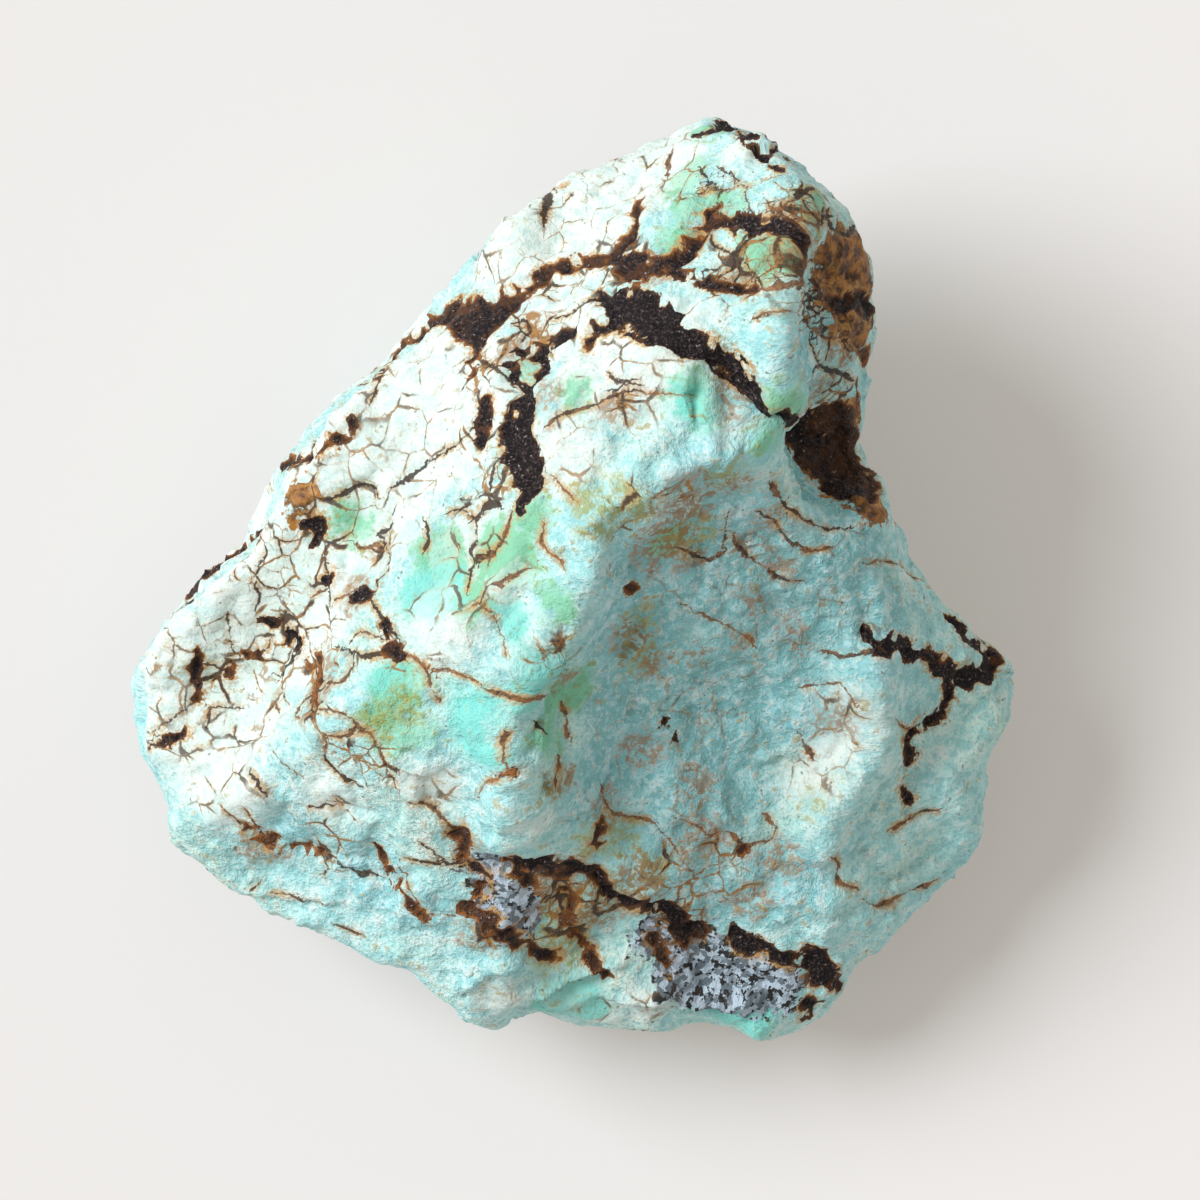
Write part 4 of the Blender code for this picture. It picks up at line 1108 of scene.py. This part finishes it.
def fine_bump(g, noise, vein):
    """The grain too fine for the mesh, heights in mm: flatter on white stone, rougher in the veins."""
    white_and_lit = g.field("stone_whiteness_and_painted_light")
    coarse_grit = noise.rough * white_and_lit.ramp(0.2, 1.0, 0.16, 0.06)
    fine_grit = noise.fine * (vein * 0.06 + white_and_lit.ramp(0.2, 1.0, 0.055, 0.03))
    bump = g.node("ShaderNodeBump")
    bump.inputs["Distance"].default_value = MM
    bump.inputs["Strength"].default_value = 1.0
    g.feed(bump.inputs["Height"], coarse_grit + fine_grit)
    return Value(g, bump.outputs["Normal"])


def stone_material():
    """Matt, chalky turquoise with brown and black veins, rusty nets, stains, amber and some quartz."""
    material = bpy.data.materials.new("turquoise_with_matrix")
    material.use_nodes = True
    tree = material.node_tree
    tree.nodes.clear()
    g = Graph(tree)
    place = g.field("stone_place", "Vector")
    ragged = ragged_place(g, g.field("stone_bent", "Vector"))
    noise = Noises(rough=g.noise(place, ROUGH_GRAIN, 3.0, 0.6), fine=g.noise(place, FINE_GRAIN, 1.5, 0.6),
                   soft=g.field("stone_soft"), crumbs=g.cells(ragged, CRUMB),
                   grains=g.cells(place, GRAIN), ragged=ragged)
    quartz = stain(g, "quartz", noise, -0.4, -0.2)
    amber = stain(g, "amber", noise, -0.4, -0.2)
    colour = g.mix(quartz, turquoise_colour(g, noise), quartz_colour(g, noise))
    colour = g.mix(amber, colour, amber_colour(g, noise))

    # distances to the veins' edges, where crumbs of stone stand, and to the nets' lines, mm
    coarse_edge = g.edge_of_cells(ragged, PEBBLE)
    crumb_middle = noise.crumbs.distance + noise.rough.swing(0.25)
    blobs = crumb_middle.ramp(0.62, 0.2, -0.10, 0.20)
    gap = g.field("stone_gap") + blobs + noise.rough.swing(0.55) + noise.fine.swing(0.12)
    colour = with_haloes(g, noise, colour, gap, coarse_edge)
    colour = with_nets(g, noise, colour, coarse_edge, crumb_middle)
    colour = with_thin_veins(g, noise, colour)
    vein, vein_colour = broad_vein(g, noise, gap)
    colour = g.mix(vein, colour, vein_colour)

    roughness = noise.fine.ramp(0.3, 0.7, *GLOSS) - vein * VEIN_GLOSS
    roughness = roughness - quartz * QUARTZ_GLOSS - amber * AMBER_GLOSS
    shader = g.node("ShaderNodeBsdfPrincipled")
    shader.inputs["IOR"].default_value = REFRACTION
    g.feed(shader.inputs["Base Color"], colour)
    g.feed(shader.inputs["Roughness"], roughness)
    g.feed(shader.inputs["Specular IOR Level"], vein.ramp(0.0, 1.0, STONE_SHINE, VEIN_SHINE))
    g.feed(shader.inputs["Normal"], fine_bump(g, noise, vein))
    tree.links.new(shader.outputs[0], g.node("ShaderNodeOutputMaterial").inputs["Surface"])
    return material


# =================================================================== stage ====

FLOOR_SIZE = 4000.0             # mm
FLOOR_COLOUR = (0.60, 0.605, 0.62, 1.0)
FLOOR_ROUGHNESS = 0.6
FLOOR_SHINE = 0.2
GLOW_COLOUR = (1.0, 0.86, 0.73, 1.0)     # painted light: a faint glow that stands in for the light marble lets through, and lifts its shadows
GLOW_STRENGTH = 0.19
KEY_DIRECTION = (158.0, 42.0)   # the main light's compass angle from +X and its height, degrees
KEY_STRENGTH = 3.1
KEY_COLOUR = (0.98, 1.0, 1.02)
KEY_SOFTNESS = 34.0             # the light's apparent size, degrees
FILL_STRENGTH = 0.48
FILL_COLOUR = (1.0, 0.955, 0.90, 1.0)


def make_floor():
    """A plain pale floor, level with the stone's resting face."""
    half = FLOOR_SIZE / 2 * MM
    corners = [(-half, -half, 0), (half, -half, 0), (half, half, 0), (-half, half, 0)]
    mesh = bpy.data.meshes.new("studio_floor")
    mesh.from_pydata(corners, [], [(0, 1, 2, 3)])
    floor = bpy.data.objects.new("studio_floor", mesh)
    bpy.context.scene.collection.objects.link(floor)
    material = bpy.data.materials.new("pale_floor")
    material.use_nodes = True
    inputs = material.node_tree.nodes["Principled BSDF"].inputs
    inputs["Base Color"].default_value = FLOOR_COLOUR
    inputs["Roughness"].default_value = FLOOR_ROUGHNESS
    inputs["Specular IOR Level"].default_value = FLOOR_SHINE
    # painted light: the floor glows faintly, which lifts its shadows
    inputs["Emission Color"].default_value = GLOW_COLOUR
    inputs["Emission Strength"].default_value = GLOW_STRENGTH
    mesh.materials.append(material)
    return floor


def make_lights():
    """One large soft light from the left, and an even fill."""
    lamp = bpy.data.lights.new("key_light", "SUN")
    lamp.energy = KEY_STRENGTH
    lamp.angle = radians(KEY_SOFTNESS)
    lamp.color = KEY_COLOUR
    key = bpy.data.objects.new("key_light", lamp)
    bpy.context.scene.collection.objects.link(key)
    compass, rise = KEY_DIRECTION
    key.rotation_euler = (0.0, radians(90.0 - rise), radians(compass))
    world = bpy.data.worlds.new("studio")
    world.use_nodes = True
    backdrop = world.node_tree.nodes["Background"]
    backdrop.inputs["Color"].default_value = FILL_COLOUR
    backdrop.inputs["Strength"].default_value = FILL_STRENGTH
    bpy.context.scene.world = world


def make_camera():
    """Straight above the stone, as the photograph was taken."""
    lens = bpy.data.cameras.new("camera")
    lens.sensor_width = SENSOR_WIDTH
    lens.lens = SENSOR_WIDTH * (CAMERA_HEIGHT - PICTURE_LEVEL) / PICTURE_WIDTH
    lens.clip_start = 0.01
    camera = bpy.data.objects.new("camera", lens)
    camera.location = EYE * MM
    bpy.context.scene.collection.objects.link(camera)
    bpy.context.scene.camera = camera


stone = make_stone()
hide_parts(STONE)
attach(stone, "root")
make_floor()
make_lights()
make_camera()
bpy.context.scene.view_settings.view_transform = "Standard"
